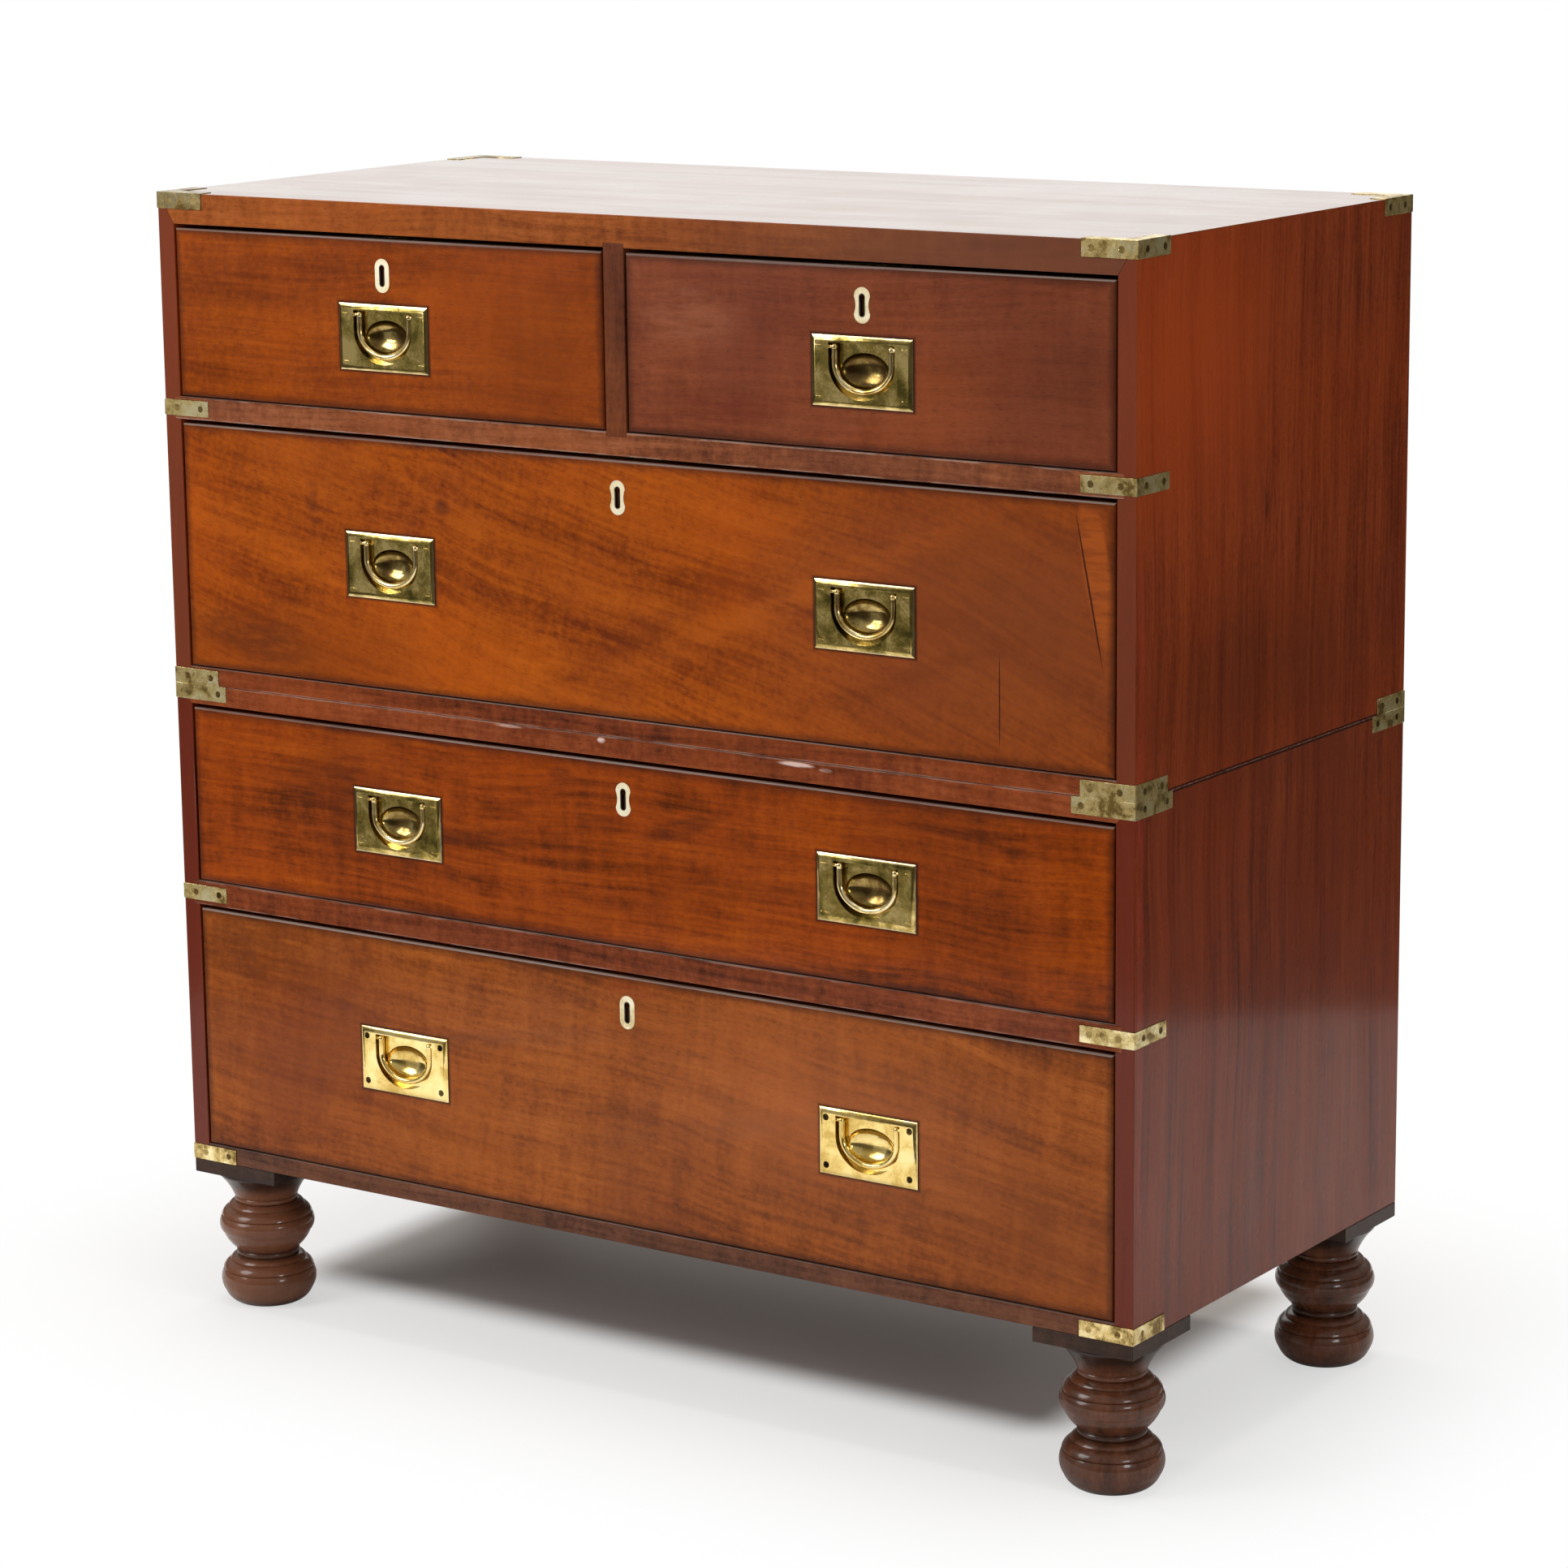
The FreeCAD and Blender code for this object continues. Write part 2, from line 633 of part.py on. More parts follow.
def tails(x0, x1, base_y, tip_y, z0, z1):
    # dovetails in a drawer side, wider at the tip, as seen from the side
    count = max(2, round((z1 - z0) / dovetail_pitch))
    pitch = (z1 - z0) / count
    root = pitch * dovetail_share / 2
    tip = root + dovetail_flare
    solids = []
    for i in range(count):
        middle = z0 + (i + 0.5) * pitch
        outline = [vec(x0, base_y, middle - root), vec(x0, tip_y, middle - tip),
                   vec(x0, tip_y, middle + tip), vec(x0, base_y, middle + root)]
        solids.append(prism(outline, vec(x1 - x0, 0, 0)))
    return solids


def make_drawer(name, x0, x1, opening_z, opening_height, handles, handle_drop, waist):
    left, right = x0 + drawer_side_gap, x1 - drawer_side_gap
    front_z0, front_z1 = opening_z + drawer_sill_gap, opening_z + opening_height - drawer_top_gap
    side_z0, side_z1 = opening_z + runner_play, front_z1 - side_drop
    lock_x = (x0 + x1) / 2
    lock_at = vec(lock_x, front_y, front_z1)
    handle_z = (front_z0 + front_z1) / 2 - handle_drop
    front_back_y = front_y + front_thickness
    back_front_y = drawer_end_y - drawer_back_thickness
    screws = Screws()

    # handles
    half_x, half_z = handle_plate_width / 2, handle_plate_height / 2
    plate_face_y = front_y - handle_plate_proud
    plates, pockets = [], []
    for x, bail_name in handles:
        centre = vec(x, front_y, handle_z)
        plates.append(handle_plate().translated(centre))
        pockets.append(handle_pocket().translated(centre))
        save(bail_name, bail().translated(centre))
        for dx in (plate_screw_inset_x - half_x, half_x - plate_screw_inset_x):
            for dz in (plate_screw_inset_z - half_z, half_z - plate_screw_inset_z):
                screws.add(x + dx, plate_face_y, handle_z + dz, vec(0, 1, 0), plate_screw_length)

    # lock
    case, back_plate, rooms = lock_pieces()
    screw_x = lock_half_width + lock_back_plate_margin / 2
    for dx in (-screw_x, screw_x):
        for dz in (-lock_height / 4, -lock_height * 3 / 4):
            screws.add(lock_x + dx, front_back_y, front_z1 + dz, vec(0, -1, 0), lock_screw_length)
    ring_back = escutcheon_thickness - escutcheon_proud
    ring_bed = escutcheon(waist, -cut_overrun, ring_back)
    ring = escutcheon(waist, -escutcheon_proud, ring_back).cut(keyhole(-cut_overrun, ring_back))
    lock_set = case + [back_plate, ring]
    lock_set = [carve(piece.translated(lock_at), screws.holes) for piece in lock_set]
    key_way = keyhole(0, lock_front_y + cut_overrun)
    lock_cuts = [room.translated(lock_at) for room in rooms + [ring_bed, key_way]]

    # front, with a rounded edge all round its face, and the sides dovetailed into its ends
    front = box(left, right, front_y, front_back_y, front_z0, front_z1)
    face_edges = [edge for edge in front.Edges if edge.BoundBox.YMax < front_y + front_thickness / 2]
    front = front.makeFillet(front_edge_radius, face_edges)
    sides = []
    front_sockets, back_sockets = [], []
    for outer, inner in ((left, left + drawer_side_thickness), (right, right - drawer_side_thickness)):
        board = box(outer, inner, front_back_y, back_front_y, side_z0, side_z1)
        front_tails = tails(outer, inner, front_back_y, front_y + lap, front_z0, side_z1)
        back_tails = tails(outer, inner, back_front_y, drawer_end_y, side_z0, side_z1)
        sides.append(board.fuse(front_tails + back_tails).removeSplitter())
        front_sockets += front_tails
        back_sockets += back_tails

    # bottom panel in grooves, passing under the back
    panel_z0 = side_z0 + bottom_groove_rise
    panel_z1 = panel_z0 + drawer_bottom_thickness
    reach = bottom_groove_depth
    panel_x0, panel_x1 = left + drawer_side_thickness - reach, right - drawer_side_thickness + reach
    panel = box(panel_x0, panel_x1, front_back_y - reach, drawer_end_y, panel_z0, panel_z1)
    play = bottom_groove_play
    groove = box(panel_x0 - play, panel_x1 + play, front_back_y - reach - play, drawer_end_y,
                 panel_z0 - play, panel_z1)
    back = box(left, right, back_front_y, drawer_end_y, panel_z1, side_z1 - back_drop)

    save(name + "_front", carve(front, pockets + lock_cuts + screws.holes + front_sockets + [groove]))
    save(name + "_box", [carve(board, [groove]) for board in sides] + [carve(back, back_sockets), panel])
    save(name + "_lock", lock_set)
    save(name + "_handle_plates", [carve(plate, screws.holes) for plate in plates])
    save(name + "_screws", screws.pieces)
    save(name + "_bolt", lock_bolt().translated(lock_at))


def make_drawers():
    inner = partition_thickness / 2
    for side, word in ((-1, "left"), (1, "right")):
        ends = sorted((side * inner, side * inner_half_width))
        name = word + "_short_drawer"
        make_drawer(name, ends[0], ends[1], short_opening_z, short_opening_height,
                    [(side * short_centre_x, name + "_bail")], short_handle_drop,
                    escutcheon_half_width if side < 0 else escutcheon_waist)
    long_drawers = (("deep_drawer", deep_opening_z, deep_opening_height, escutcheon_waist),
                    ("shallow_drawer", shallow_opening_z, shallow_opening_height, escutcheon_waist),
                    ("bottom_drawer", bottom_opening_z, bottom_opening_height, escutcheon_half_width))
    for name, z, height, waist in long_drawers:
        handles = [(-short_centre_x, name + "_left_bail"), (short_centre_x, name + "_right_bail")]
        make_drawer(name, -inner_half_width, inner_half_width, z, height, handles, long_handle_drop, waist)


os.makedirs("parts", exist_ok=True)
make_upper_case()
make_lower_case()
for foot_name, _, _, foot_x, foot_y in foot_places():
    save(foot_name, make_foot(foot_x, foot_y))
make_drawers()
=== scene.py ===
import json
import math

import bmesh
import bpy
import numpy as np
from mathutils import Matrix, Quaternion, Vector


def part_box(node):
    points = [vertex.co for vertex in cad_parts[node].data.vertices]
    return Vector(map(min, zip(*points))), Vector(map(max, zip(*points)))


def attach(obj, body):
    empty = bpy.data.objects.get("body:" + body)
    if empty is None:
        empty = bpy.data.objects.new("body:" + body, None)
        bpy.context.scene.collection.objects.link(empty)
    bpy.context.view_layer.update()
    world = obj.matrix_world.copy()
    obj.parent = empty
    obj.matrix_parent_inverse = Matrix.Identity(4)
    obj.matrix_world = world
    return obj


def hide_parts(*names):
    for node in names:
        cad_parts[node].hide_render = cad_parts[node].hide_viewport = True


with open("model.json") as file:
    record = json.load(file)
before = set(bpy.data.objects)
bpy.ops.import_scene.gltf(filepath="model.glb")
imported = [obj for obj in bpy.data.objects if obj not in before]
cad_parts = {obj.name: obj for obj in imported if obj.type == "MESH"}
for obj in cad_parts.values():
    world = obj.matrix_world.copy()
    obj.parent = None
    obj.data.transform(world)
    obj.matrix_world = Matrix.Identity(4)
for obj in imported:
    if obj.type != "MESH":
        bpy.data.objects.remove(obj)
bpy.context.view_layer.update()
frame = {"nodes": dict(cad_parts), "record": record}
scene = bpy.context.scene
nodes = frame["nodes"]
bodyOf = {name: body for body, members in frame["record"]["behaviour"]["bodies"].items() for name in members}
drawers = ["left_short_drawer", "right_short_drawer", "deep_drawer", "shallow_drawer", "bottom_drawer"]
mm = 0.001
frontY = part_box("deep_drawer_front")[0].y
print("frame loaded:", len(nodes), "nodes")


# node trees

def shown(red, green, blue):
    # a colour as a screen shows it, 0 to 255, turned into the linear numbers that shaders take
    parts = [value / 255 for value in (red, green, blue)]
    return tuple(p / 12.92 if p <= 0.04045 else ((p + 0.055) / 1.055) ** 2.4 for p in parts) + (1.0,)


class Finish:
    # one material's tree, with short names for the nodes that the finishes below are made of
    def __init__(self, name):
        self.material = bpy.data.materials.new(name)
        self.material.use_nodes = True
        self.tree = self.material.node_tree
        self.tree.nodes.clear()
        self.shader = self.add("ShaderNodeBsdfPrincipled")
        output = self.add("ShaderNodeOutputMaterial")
        self.tree.links.new(self.shader.outputs[0], output.inputs[0])
        where = self.add("ShaderNodeTexCoord")
        self.place, self.facing = where.outputs["Object"], where.outputs["Normal"]

    def add(self, kind, **settings):
        node = self.tree.nodes.new(kind)
        for key, value in settings.items():
            setattr(node, key, value)
        return node

    def feed(self, node, **values):
        # a number or a colour is set on the socket, and anything else is linked to it
        for key, value in values.items():
            socket = node.inputs[key.replace("_", " ")]
            if isinstance(value, bpy.types.NodeSocket):
                self.tree.links.new(value, socket)
            else:
                socket.default_value = value

    def split(self, vector):
        node = self.add("ShaderNodeSeparateXYZ")
        self.feed(node, Vector=vector)
        return node.outputs

    def calc(self, operation, *values, clamp=False):
        node = self.add("ShaderNodeMath", operation=operation, use_clamp=clamp)
        for i, value in enumerate(values):
            if isinstance(value, bpy.types.NodeSocket):
                self.tree.links.new(value, node.inputs[i])
            else:
                node.inputs[i].default_value = value
        return node.outputs[0]

    def arrow(self, operation, *values):
        # vector arithmetic
        node = self.add("ShaderNodeVectorMath", operation=operation)
        for i, value in enumerate(values):
            if isinstance(value, bpy.types.NodeSocket):
                self.tree.links.new(value, node.inputs[i])
            elif isinstance(value, tuple):
                node.inputs[i].default_value = value
            else:
                node.inputs["Scale"].default_value = value
        return node.outputs["Value"] if operation in ("LENGTH", "DISTANCE") else node.outputs["Vector"]

    def stretch(self, vector, scale, turn=(0, 0, 0), shift=(0, 0, 0), kind="POINT"):
        node = self.add("ShaderNodeMapping", vector_type=kind)
        self.feed(node, Vector=vector, Location=shift, Rotation=[math.radians(a) for a in turn], Scale=scale)
        return node.outputs[0]

    def noise(self, vector, scale, detail=3.0, rough=0.5, twist=0.0, output=0):
        node = self.add("ShaderNodeTexNoise")
        self.feed(node, Vector=vector, Scale=scale, Detail=detail, Roughness=rough, Distortion=twist)
        return node.outputs[output]

    def remap(self, value, low, high, toLow=0.0, toHigh=1.0):
        node = self.add("ShaderNodeMapRange", interpolation_type="SMOOTHSTEP")
        for i, number in enumerate((value, low, high, toLow, toHigh)):
            if isinstance(number, bpy.types.NodeSocket):
                self.tree.links.new(number, node.inputs[i])
            else:
                node.inputs[i].default_value = number
        return node.outputs[0]

    def ramp(self, value, stops):
        node = self.add("ShaderNodeValToRGB")
        bar = node.color_ramp
        while len(bar.elements) < len(stops):
            bar.elements.new(0.5)
        for element, (position, colour) in zip(bar.elements, stops):
            element.position = position
            element.color = colour
        self.feed(node, Fac=value)
        return node.outputs[0]

    def tones(self, tone, look, half):
        # dark, mid and light over a tone of 0.5, half more or less
        stops = ((0.5 - half, "dark"), (0.5, "mid"), (0.5 + half, "light"))
        return self.ramp(tone, [(position, shown(*look[key])) for position, key in stops])

    def mix(self, amount, first, second):
        node = self.add("ShaderNodeMix", data_type="RGBA")
        for i, value in ((0, amount), (6, first), (7, second)):
            if isinstance(value, bpy.types.NodeSocket):
                self.tree.links.new(value, node.inputs[i])
            else:
                node.inputs[i].default_value = value
        return node.outputs[2]

    def bump(self, height, strength, distance, below=None):
        node = self.add("ShaderNodeBump")
        self.feed(node, Height=height, Strength=strength, Distance=distance)
        if below is not None:
            self.feed(node, Normal=below)
        return node.outputs[0]


# wood: one solid pattern stretched along the grain, so ends and faces of a board agree

plainWood = {
    "dark": (108, 40, 3), "mid": (157, 69, 4), "light": (180, 86, 10),
    "warm": (180, 78, 3), "warmAmount": 0.3,
    "cool": (120, 50, 16), "coolAmount": 0.3,
    "tilt": 0.0, "seed": 0.0,
    "bend": 0.05, "bendScale": 2.2,
    "figure": (3.2, 30), "figureShare": 0.34,      # scale along and across the grain, per metre
    "streak": (8, 200), "streakShare": 0.28,
    "curl": (70, 14), "curlShare": 0.18,
    "mottle": 190, "mottleShare": 0.20,
    "spread": 0.115,                               # half the width of the tone that the ramp covers
    "cloudScale": 5.2, "cloudReach": 0.16,         # the slow change between warm and cool wood
    "pore": (120, 1300), "poreDepth": 0.45,
    "rough": (0.24, 0.38), "wearScale": 11, "specular": 0.06,
    "coat": 0.18, "coatRough": 0.10, "coatPatch": 0.15, "coatUpOnly": False,
    "relief": 0.16, "reliefHeight": 0.5 * mm,
    "ripple": 0.05, "rippleScale": 16, "rippleHeight": 4 * mm,
    "darkAndShade": (40, 16, 10), "rimDarkAmount": 0.6, "rimDarkWidth": 10 * mm,
    # painted shade round each handle plate
    "plateShade": (3.4 * mm, 0.4 * mm), "plateShadeAmount": 0.8,
    # pale broken lines at the rubbed heights: wear, with painted highlight
    "rub": (190, 158, 142), "rubAndGlintAmount": 0.45, "rubAndGlintWidth": 1.2 * mm,
    # a painted highlight on the rounded upper edge of a face
    "arrisHighlight": (160, 146, 136), "arrisHighlightAmount": 0.0, "arrisHighlightDepth": (4.5 * mm, 2.0 * mm),
    "faces": (),                                   # axis, colour and share of the faces that look along it
}


def mark(at, size, colour, amount, core=0.3, turn=0.0, broken=True, depth=(0.0, 1000.0)):
    # a stain, crack, paler patch, or painted light or shade: an ellipse of these half sizes, full inside its core
    # and turned by some degrees, ragged along the grain if broken; depth is its middle and half size through the
    # board
    return {"at": at, "size": size, "colour": colour, "amount": amount, "core": core, "turn": turn,
            "broken": broken, "depth": depth}


def woodFinish(name, look, along, marks=(), rim=None, plane=(0, 2), plates=(), rubbed=()):
    # tone = weighted sum of four noises, three of them stretched along or across the grain; pores, marks and
    # a dark rim lie over it, with painted shade round each plate, pale broken lines of wear and painted highlight
    # at the rubbed heights, and a painted highlight on the upper arris
    look = {**plainWood, **look}
    f = Finish(name)

    def grain(vector, scales):
        scale = [scales[1]] * 3
        scale[along] = scales[0]
        return f.stretch(vector, scale)

    seed = look["seed"]
    tilt = [0.0, 0.0, 0.0]
    tilt[1 if along != 1 else 0] = look["tilt"]
    board = f.stretch(f.place, (1, 1, 1), turn=tilt, shift=(seed, seed * 1.7, seed * 0.6))
    drift = f.arrow("SUBTRACT", f.noise(board, look["bendScale"], 2, output=1), (0.5, 0.5, 0.5))
    bent = f.arrow("ADD", board, f.arrow("SCALE", drift, look["bend"]))
    figure = f.noise(grain(bent, look["figure"]), 1.0, 4, 0.55)
    streak = f.noise(grain(bent, look["streak"]), 1.0, 3, 0.6)
    curl = f.noise(grain(board, look["curl"]), 1.0, 2)
    mottle = f.noise(board, look["mottle"], 3, 0.6)
    pore = f.remap(f.noise(grain(board, look["pore"]), 1.0, 2), 0.56, 0.72)
    tone = f.calc("MULTIPLY", figure, look["figureShare"])
    for layer, share in ((streak, "streakShare"), (curl, "curlShare"), (mottle, "mottleShare")):
        tone = f.calc("MULTIPLY_ADD", layer, look[share], tone)
    colour = f.tones(tone, look, look["spread"])
    cloud = f.noise(board, look["cloudScale"], 3)
    warm = f.remap(cloud, 0.5, 0.5 + look["cloudReach"], 0.0, look["warmAmount"])
    cool = f.remap(cloud, 0.5, 0.5 - look["cloudReach"], 0.0, look["coolAmount"])
    colour = f.mix(warm, colour, shown(*look["warm"]))
    colour = f.mix(cool, colour, shown(*look["cool"]))
    colour = f.mix(f.calc("MULTIPLY", pore, look["poreDepth"]), colour, shown(*look["darkAndShade"]))

    through = 3 - sum(plane)
    for spot in marks:
        centre, radii, lean = [0.0, 0.0, 0.0], [0.0, 0.0, 0.0], [0.0, 0.0, 0.0]
        for i, a in enumerate(plane):
            centre[a], radii[a] = spot["at"][i], spot["size"][i]
        centre[through], radii[through] = spot["depth"]
        lean[through] = spot["turn"]
        inside = f.arrow("LENGTH", f.stretch(f.place, radii, turn=lean, shift=centre, kind="TEXTURE"))
        mask = f.remap(inside, 1.0, spot["core"])
        if spot["broken"]:
            ragged = f.noise(grain(f.place, (30, 150)), 1.0, 4, 0.65)
            mask = f.calc("MULTIPLY", mask, f.remap(ragged, 0.36, 0.62, 0.25, 1.0))
        colour = f.mix(f.calc("MULTIPLY", mask, spot["amount"]), colour, shown(*spot["colour"]))

    split = f.split(f.place)
    facing = f.split(f.facing)
    # a tint on the faces that look along one axis; on the top it is painted sheen
    for axis, tint, share in look["faces"]:
        flat = f.remap(f.calc("ABSOLUTE", facing[axis]), 0.7, 0.95, 0.0, share)
        colour = f.mix(flat, colour, shown(*tint))

    if rim is not None:
        # distance to the nearest edge of the face = least of the four distances to its box
        low, high = rim
        nearest = None
        for a in plane:
            for gap in (f.calc("SUBTRACT", split[a], low[a]), f.calc("SUBTRACT", high[a], split[a])):
                nearest = gap if nearest is None else f.calc("MINIMUM", nearest, gap)
        ragged = f.noise(f.place, 34, 4, 0.6)
        reach = f.calc("MULTIPLY_ADD", ragged, look["rimDarkWidth"], look["rimDarkWidth"] * 0.4)
        edge = f.remap(f.calc("DIVIDE", nearest, reach), 1.0, 0.1, 0.0, look["rimDarkAmount"])
        colour = f.mix(edge, colour, shown(*look["darkAndShade"]))

    for low, high in plates:
        # painted shade in the gap round each plate: distance outside a rectangle = the larger of |x - centre| -
        # half over its two directions
        beyond = None
        for a in plane:
            away = f.calc("ABSOLUTE", f.calc("SUBTRACT", split[a], (low[a] + high[a]) / 2))
            away = f.calc("SUBTRACT", away, (high[a] - low[a]) / 2)
            beyond = away if beyond is None else f.calc("MAXIMUM", beyond, away)
        paintedShade = f.remap(beyond, *look["plateShade"], 0.0, look["plateShadeAmount"])
        colour = f.mix(paintedShade, colour, shown(*look["darkAndShade"]))

    # pale broken lines at these heights: wear on the edges, with painted highlight
    for height in rubbed:
        near = f.calc("ABSOLUTE", f.calc("SUBTRACT", split[2], height))
        chips = f.remap(f.noise(grain(f.place, (22, 300)), 1.0, 4, 0.7), 0.44, 0.56)
        line = f.calc("MULTIPLY", f.remap(near, look["rubAndGlintWidth"] * 1.6, look["rubAndGlintWidth"] * 0.5), chips)
        colour = f.mix(f.calc("MULTIPLY", line, look["rubAndGlintAmount"]), colour, shown(*look["rub"]))

    if look["arrisHighlightAmount"]:
        # painted highlight: the rounded upper edge of the face, where it looks up, is painted pale as if it
        # reflected the light above, but not the board's top behind it
        upward = f.remap(facing[2], 0.25, 0.7)
        behind = f.remap(split[1], *[frontY + depth for depth in look["arrisHighlightDepth"]])
        highlightBreakup = f.remap(f.noise(grain(f.place, (5, 60)), 1.0, 4, 0.65), 0.30, 0.62, 0.45, 1.0)
        amount = f.calc("MULTIPLY", f.calc("MULTIPLY", upward, behind), highlightBreakup)
        colour = f.mix(f.calc("MULTIPLY", amount, look["arrisHighlightAmount"]), colour, shown(*look["arrisHighlight"]))

    wear = f.noise(f.place, look["wearScale"], 4, 0.6)
    roughness = f.calc("MULTIPLY_ADD", pore, 0.08, f.remap(wear, 0.3, 0.7, *look["rough"]))
    ripple = f.bump(f.noise(f.place, look["rippleScale"], 2), look["ripple"], look["rippleHeight"])
    height = f.calc("MULTIPLY_ADD", pore, -1.0, f.calc("MULTIPLY", streak, 0.8))
    relief = f.bump(height, look["relief"], look["reliefHeight"], ripple)
    coat = look["coat"]
    if coat:
        # polish, thinner in patches; raw boards have none, a plain 0 on the socket
        coat = f.remap(f.noise(grain(f.place, (3, 22)), 1.0, 3), 0.38, 0.62, coat * (1 - look["coatPatch"]), coat)
    if look["coatUpOnly"]:
        coat = f.calc("MULTIPLY", coat, f.remap(facing[2], 0.5, 0.9, 0.15, 1.0))
    f.feed(f.shader, Base_Color=colour, Roughness=roughness, Specular_IOR_Level=look["specular"],
           Coat_Weight=coat, Coat_Roughness=look["coatRough"], Normal=relief, Coat_Normal=ripple)
    return f.material


# brass: cloudy tarnish over a filed and polished metal

plainBrass = {
    "dark": (94, 84, 38), "mid": (165, 143, 76), "light": (228, 202, 130),
    "cloudScale": 42, "speckScale": 620, "speckShare": 0.16, "toneSpan": 0.11, "rough": (0.13, 0.27),
    "file": 0.10, "fileGrain": (260, 900, 1900), "fileHeight": 0.15 * mm,
    "dent": 0.12, "dentScale": 70, "dentHeight": 2 * mm,
    "deep": (96, 68, 42), "deepFrom": None, "metal": 1.0,
    "polish": (252, 232, 186), "polishAmount": 0.0,
    # painted shade round a keyhole and on a strap's corner
    "slot": None, "slotReach": (3.0 * mm, 6.5 * mm), "slotShade": (30, 20, 12), "slotShadeAmount": 1.0,
}


def brassFinish(name, look):
    look = {**plainBrass, **look}
    f = Finish(name)
    cloud = f.noise(f.place, look["cloudScale"], 5, 0.62, 0.4)
    speck = f.noise(f.place, look["speckScale"], 3, 0.6)
    clouded = f.calc("MULTIPLY", cloud, 1 - look["speckShare"])
    tone = f.calc("MULTIPLY_ADD", speck, look["speckShare"], clouded)
    colour = f.tones(tone, look, look["toneSpan"])
    if look["deepFrom"] is not None:
        # what lies further back than the tray's floor keeps its brown tarnish
        deep = f.remap(f.split(f.place)[1], look["deepFrom"], look["deepFrom"] + 4 * mm)
        patches = f.remap(cloud, 0.7, 0.35, 0.35, 0.8)
        colour = f.mix(f.calc("MULTIPLY", deep, patches), colour, shown(*look["deep"]))
    if look["polishAmount"]:
        # the bevelled rim in front of the wood stays bright from hands: its faces don't look along Y
        slope = f.remap(f.calc("ABSOLUTE", f.split(f.facing)[1]), 0.97, 0.85)
        ahead = f.remap(f.split(f.place)[1], frontY + 0.1 * mm, frontY - 0.3 * mm)
        rim = f.calc("MULTIPLY", f.calc("MULTIPLY", slope, ahead), look["polishAmount"])
        colour = f.mix(rim, colour, shown(*look["polish"]))
    if look["slot"] is not None:
        # painted shade round a keyhole, and a painted darker corner on a strap: distance from an upright line
        # through its middle
        reach, half = look["slotReach"]
        away = f.arrow("SUBTRACT", f.place, tuple(look["slot"]))
        side, _, up = f.split(away)
        past = f.calc("MAXIMUM", f.calc("SUBTRACT", f.calc("ABSOLUTE", up), half), 0.0)
        distance = f.calc("SQRT", f.calc("MULTIPLY_ADD", side, side, f.calc("MULTIPLY", past, past)))
        paintedShade = f.remap(distance, reach * 1.12, reach * 0.85, 0.0, look["slotShadeAmount"])
        colour = f.mix(paintedShade, colour, shown(*look["slotShade"]))
    roughness = f.remap(tone, 0.62, 0.38, *look["rough"])
    dents = f.bump(f.noise(f.place, look["dentScale"], 2), look["dent"], look["dentHeight"])
    strokes = f.noise(f.stretch(f.place, look["fileGrain"]), 1.0, 2)
    filed = f.bump(strokes, look["file"], look["fileHeight"], dents)
    f.feed(f.shader, Base_Color=colour, Metallic=look["metal"], Roughness=roughness, Normal=filed)
    return f.material


# pieces

edgeLook = {"weld": 0.002 * mm, "cellsPerMetre": 1e5, "flat": 0.3, "sharp": 28.0, "bevelAngle": 50.0,
            "bevelLength": 6 * mm}


def weldSolids(bm):
    # welds each solid by itself, so that glued boards stay apart: its triangles follow each other, and it is
    # complete where each edge has met the same edge run the other way
    waiting, group, solids = set(), [], []
    for face in bm.faces:
        group.extend(face.verts)
        corners = [tuple(round(part * edgeLook["cellsPerMetre"]) for part in vert.co) for vert in face.verts]
        for start, end in zip(corners, corners[1:] + corners[:1]):
            if (end, start) in waiting:
                waiting.remove((end, start))
            elif start != end:
                waiting.add((start, end))
        if not waiting:
            solids.append(group)
            group = []
    if group:
        solids.append(group)
    for group in solids:
        bmesh.ops.remove_doubles(bm, verts=list(dict.fromkeys(group)), dist=edgeLook["weld"])


def boardsOf(bm):
    # connected groups of vertices: each is one board of the node
    seen, groups = set(), []
    for start in bm.verts:
        if start in seen:
            continue
        seen.add(start)
        group, queue = [start], [start]
        while queue:
            for edge in queue.pop().link_edges:
                for vert in edge.verts:
                    if vert not in seen:
                        seen.add(vert)
                        group.append(vert)
                        queue.append(vert)
        groups.append(group)
    return groups


def dress(nodeName, finishOf, bevel=0.0):
    # a welded copy of a node with flat faces made whole, long edges eased and curves shaded smooth
    mesh = nodes[nodeName].data.copy()
    mesh.name = nodeName + "_dressed"
    for layer in ("custom_normal", "sharp_face", "sharp_edge"):
        if layer in mesh.attributes:
            mesh.attributes.remove(mesh.attributes[layer])
    mesh.materials.clear()
    bm = bmesh.new()
    bm.from_mesh(mesh)
    weldSolids(bm)
    bmesh.ops.dissolve_limit(bm, angle_limit=math.radians(edgeLook["flat"]), verts=bm.verts, edges=bm.edges)
    materials = []
    for group in boardsOf(bm):
        places = np.array([vert.co[:] for vert in group])
        material = finishOf(Vector(places.min(0)), Vector(places.max(0)))
        if material not in materials:
            materials.append(material)
        for vert in group:
            for face in vert.link_faces:
                face.material_index = materials.index(material)
    weights = bm.edges.layers.float.new("bevel_weight_edge")
    for edge in bm.edges:
        turn = edge.calc_face_angle(0.0)
        edge.smooth = turn < math.radians(edgeLook["sharp"])
        outer = edge.is_convex and turn > math.radians(edgeLook["bevelAngle"])
        if outer and edge.calc_length() > edgeLook["bevelLength"]:
            edge[weights] = 1.0
    for face in bm.faces:
        face.smooth = True
    bm.to_mesh(mesh)
    bm.free()
    for material in materials:
        mesh.materials.append(material)
    piece = bpy.data.objects.new(nodeName + "_dressed", mesh)
    scene.collection.objects.link(piece)
    if bevel:
        ease = piece.modifiers.new("eased edges", "BEVEL")
        ease.limit_method = "WEIGHT"
        ease.width = bevel
        ease.segments = 2
        ease.use_clamp_overlap = False
        ease.harden_normals = True
    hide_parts(nodeName)
    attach(piece, bodyOf[nodeName])
    return piece


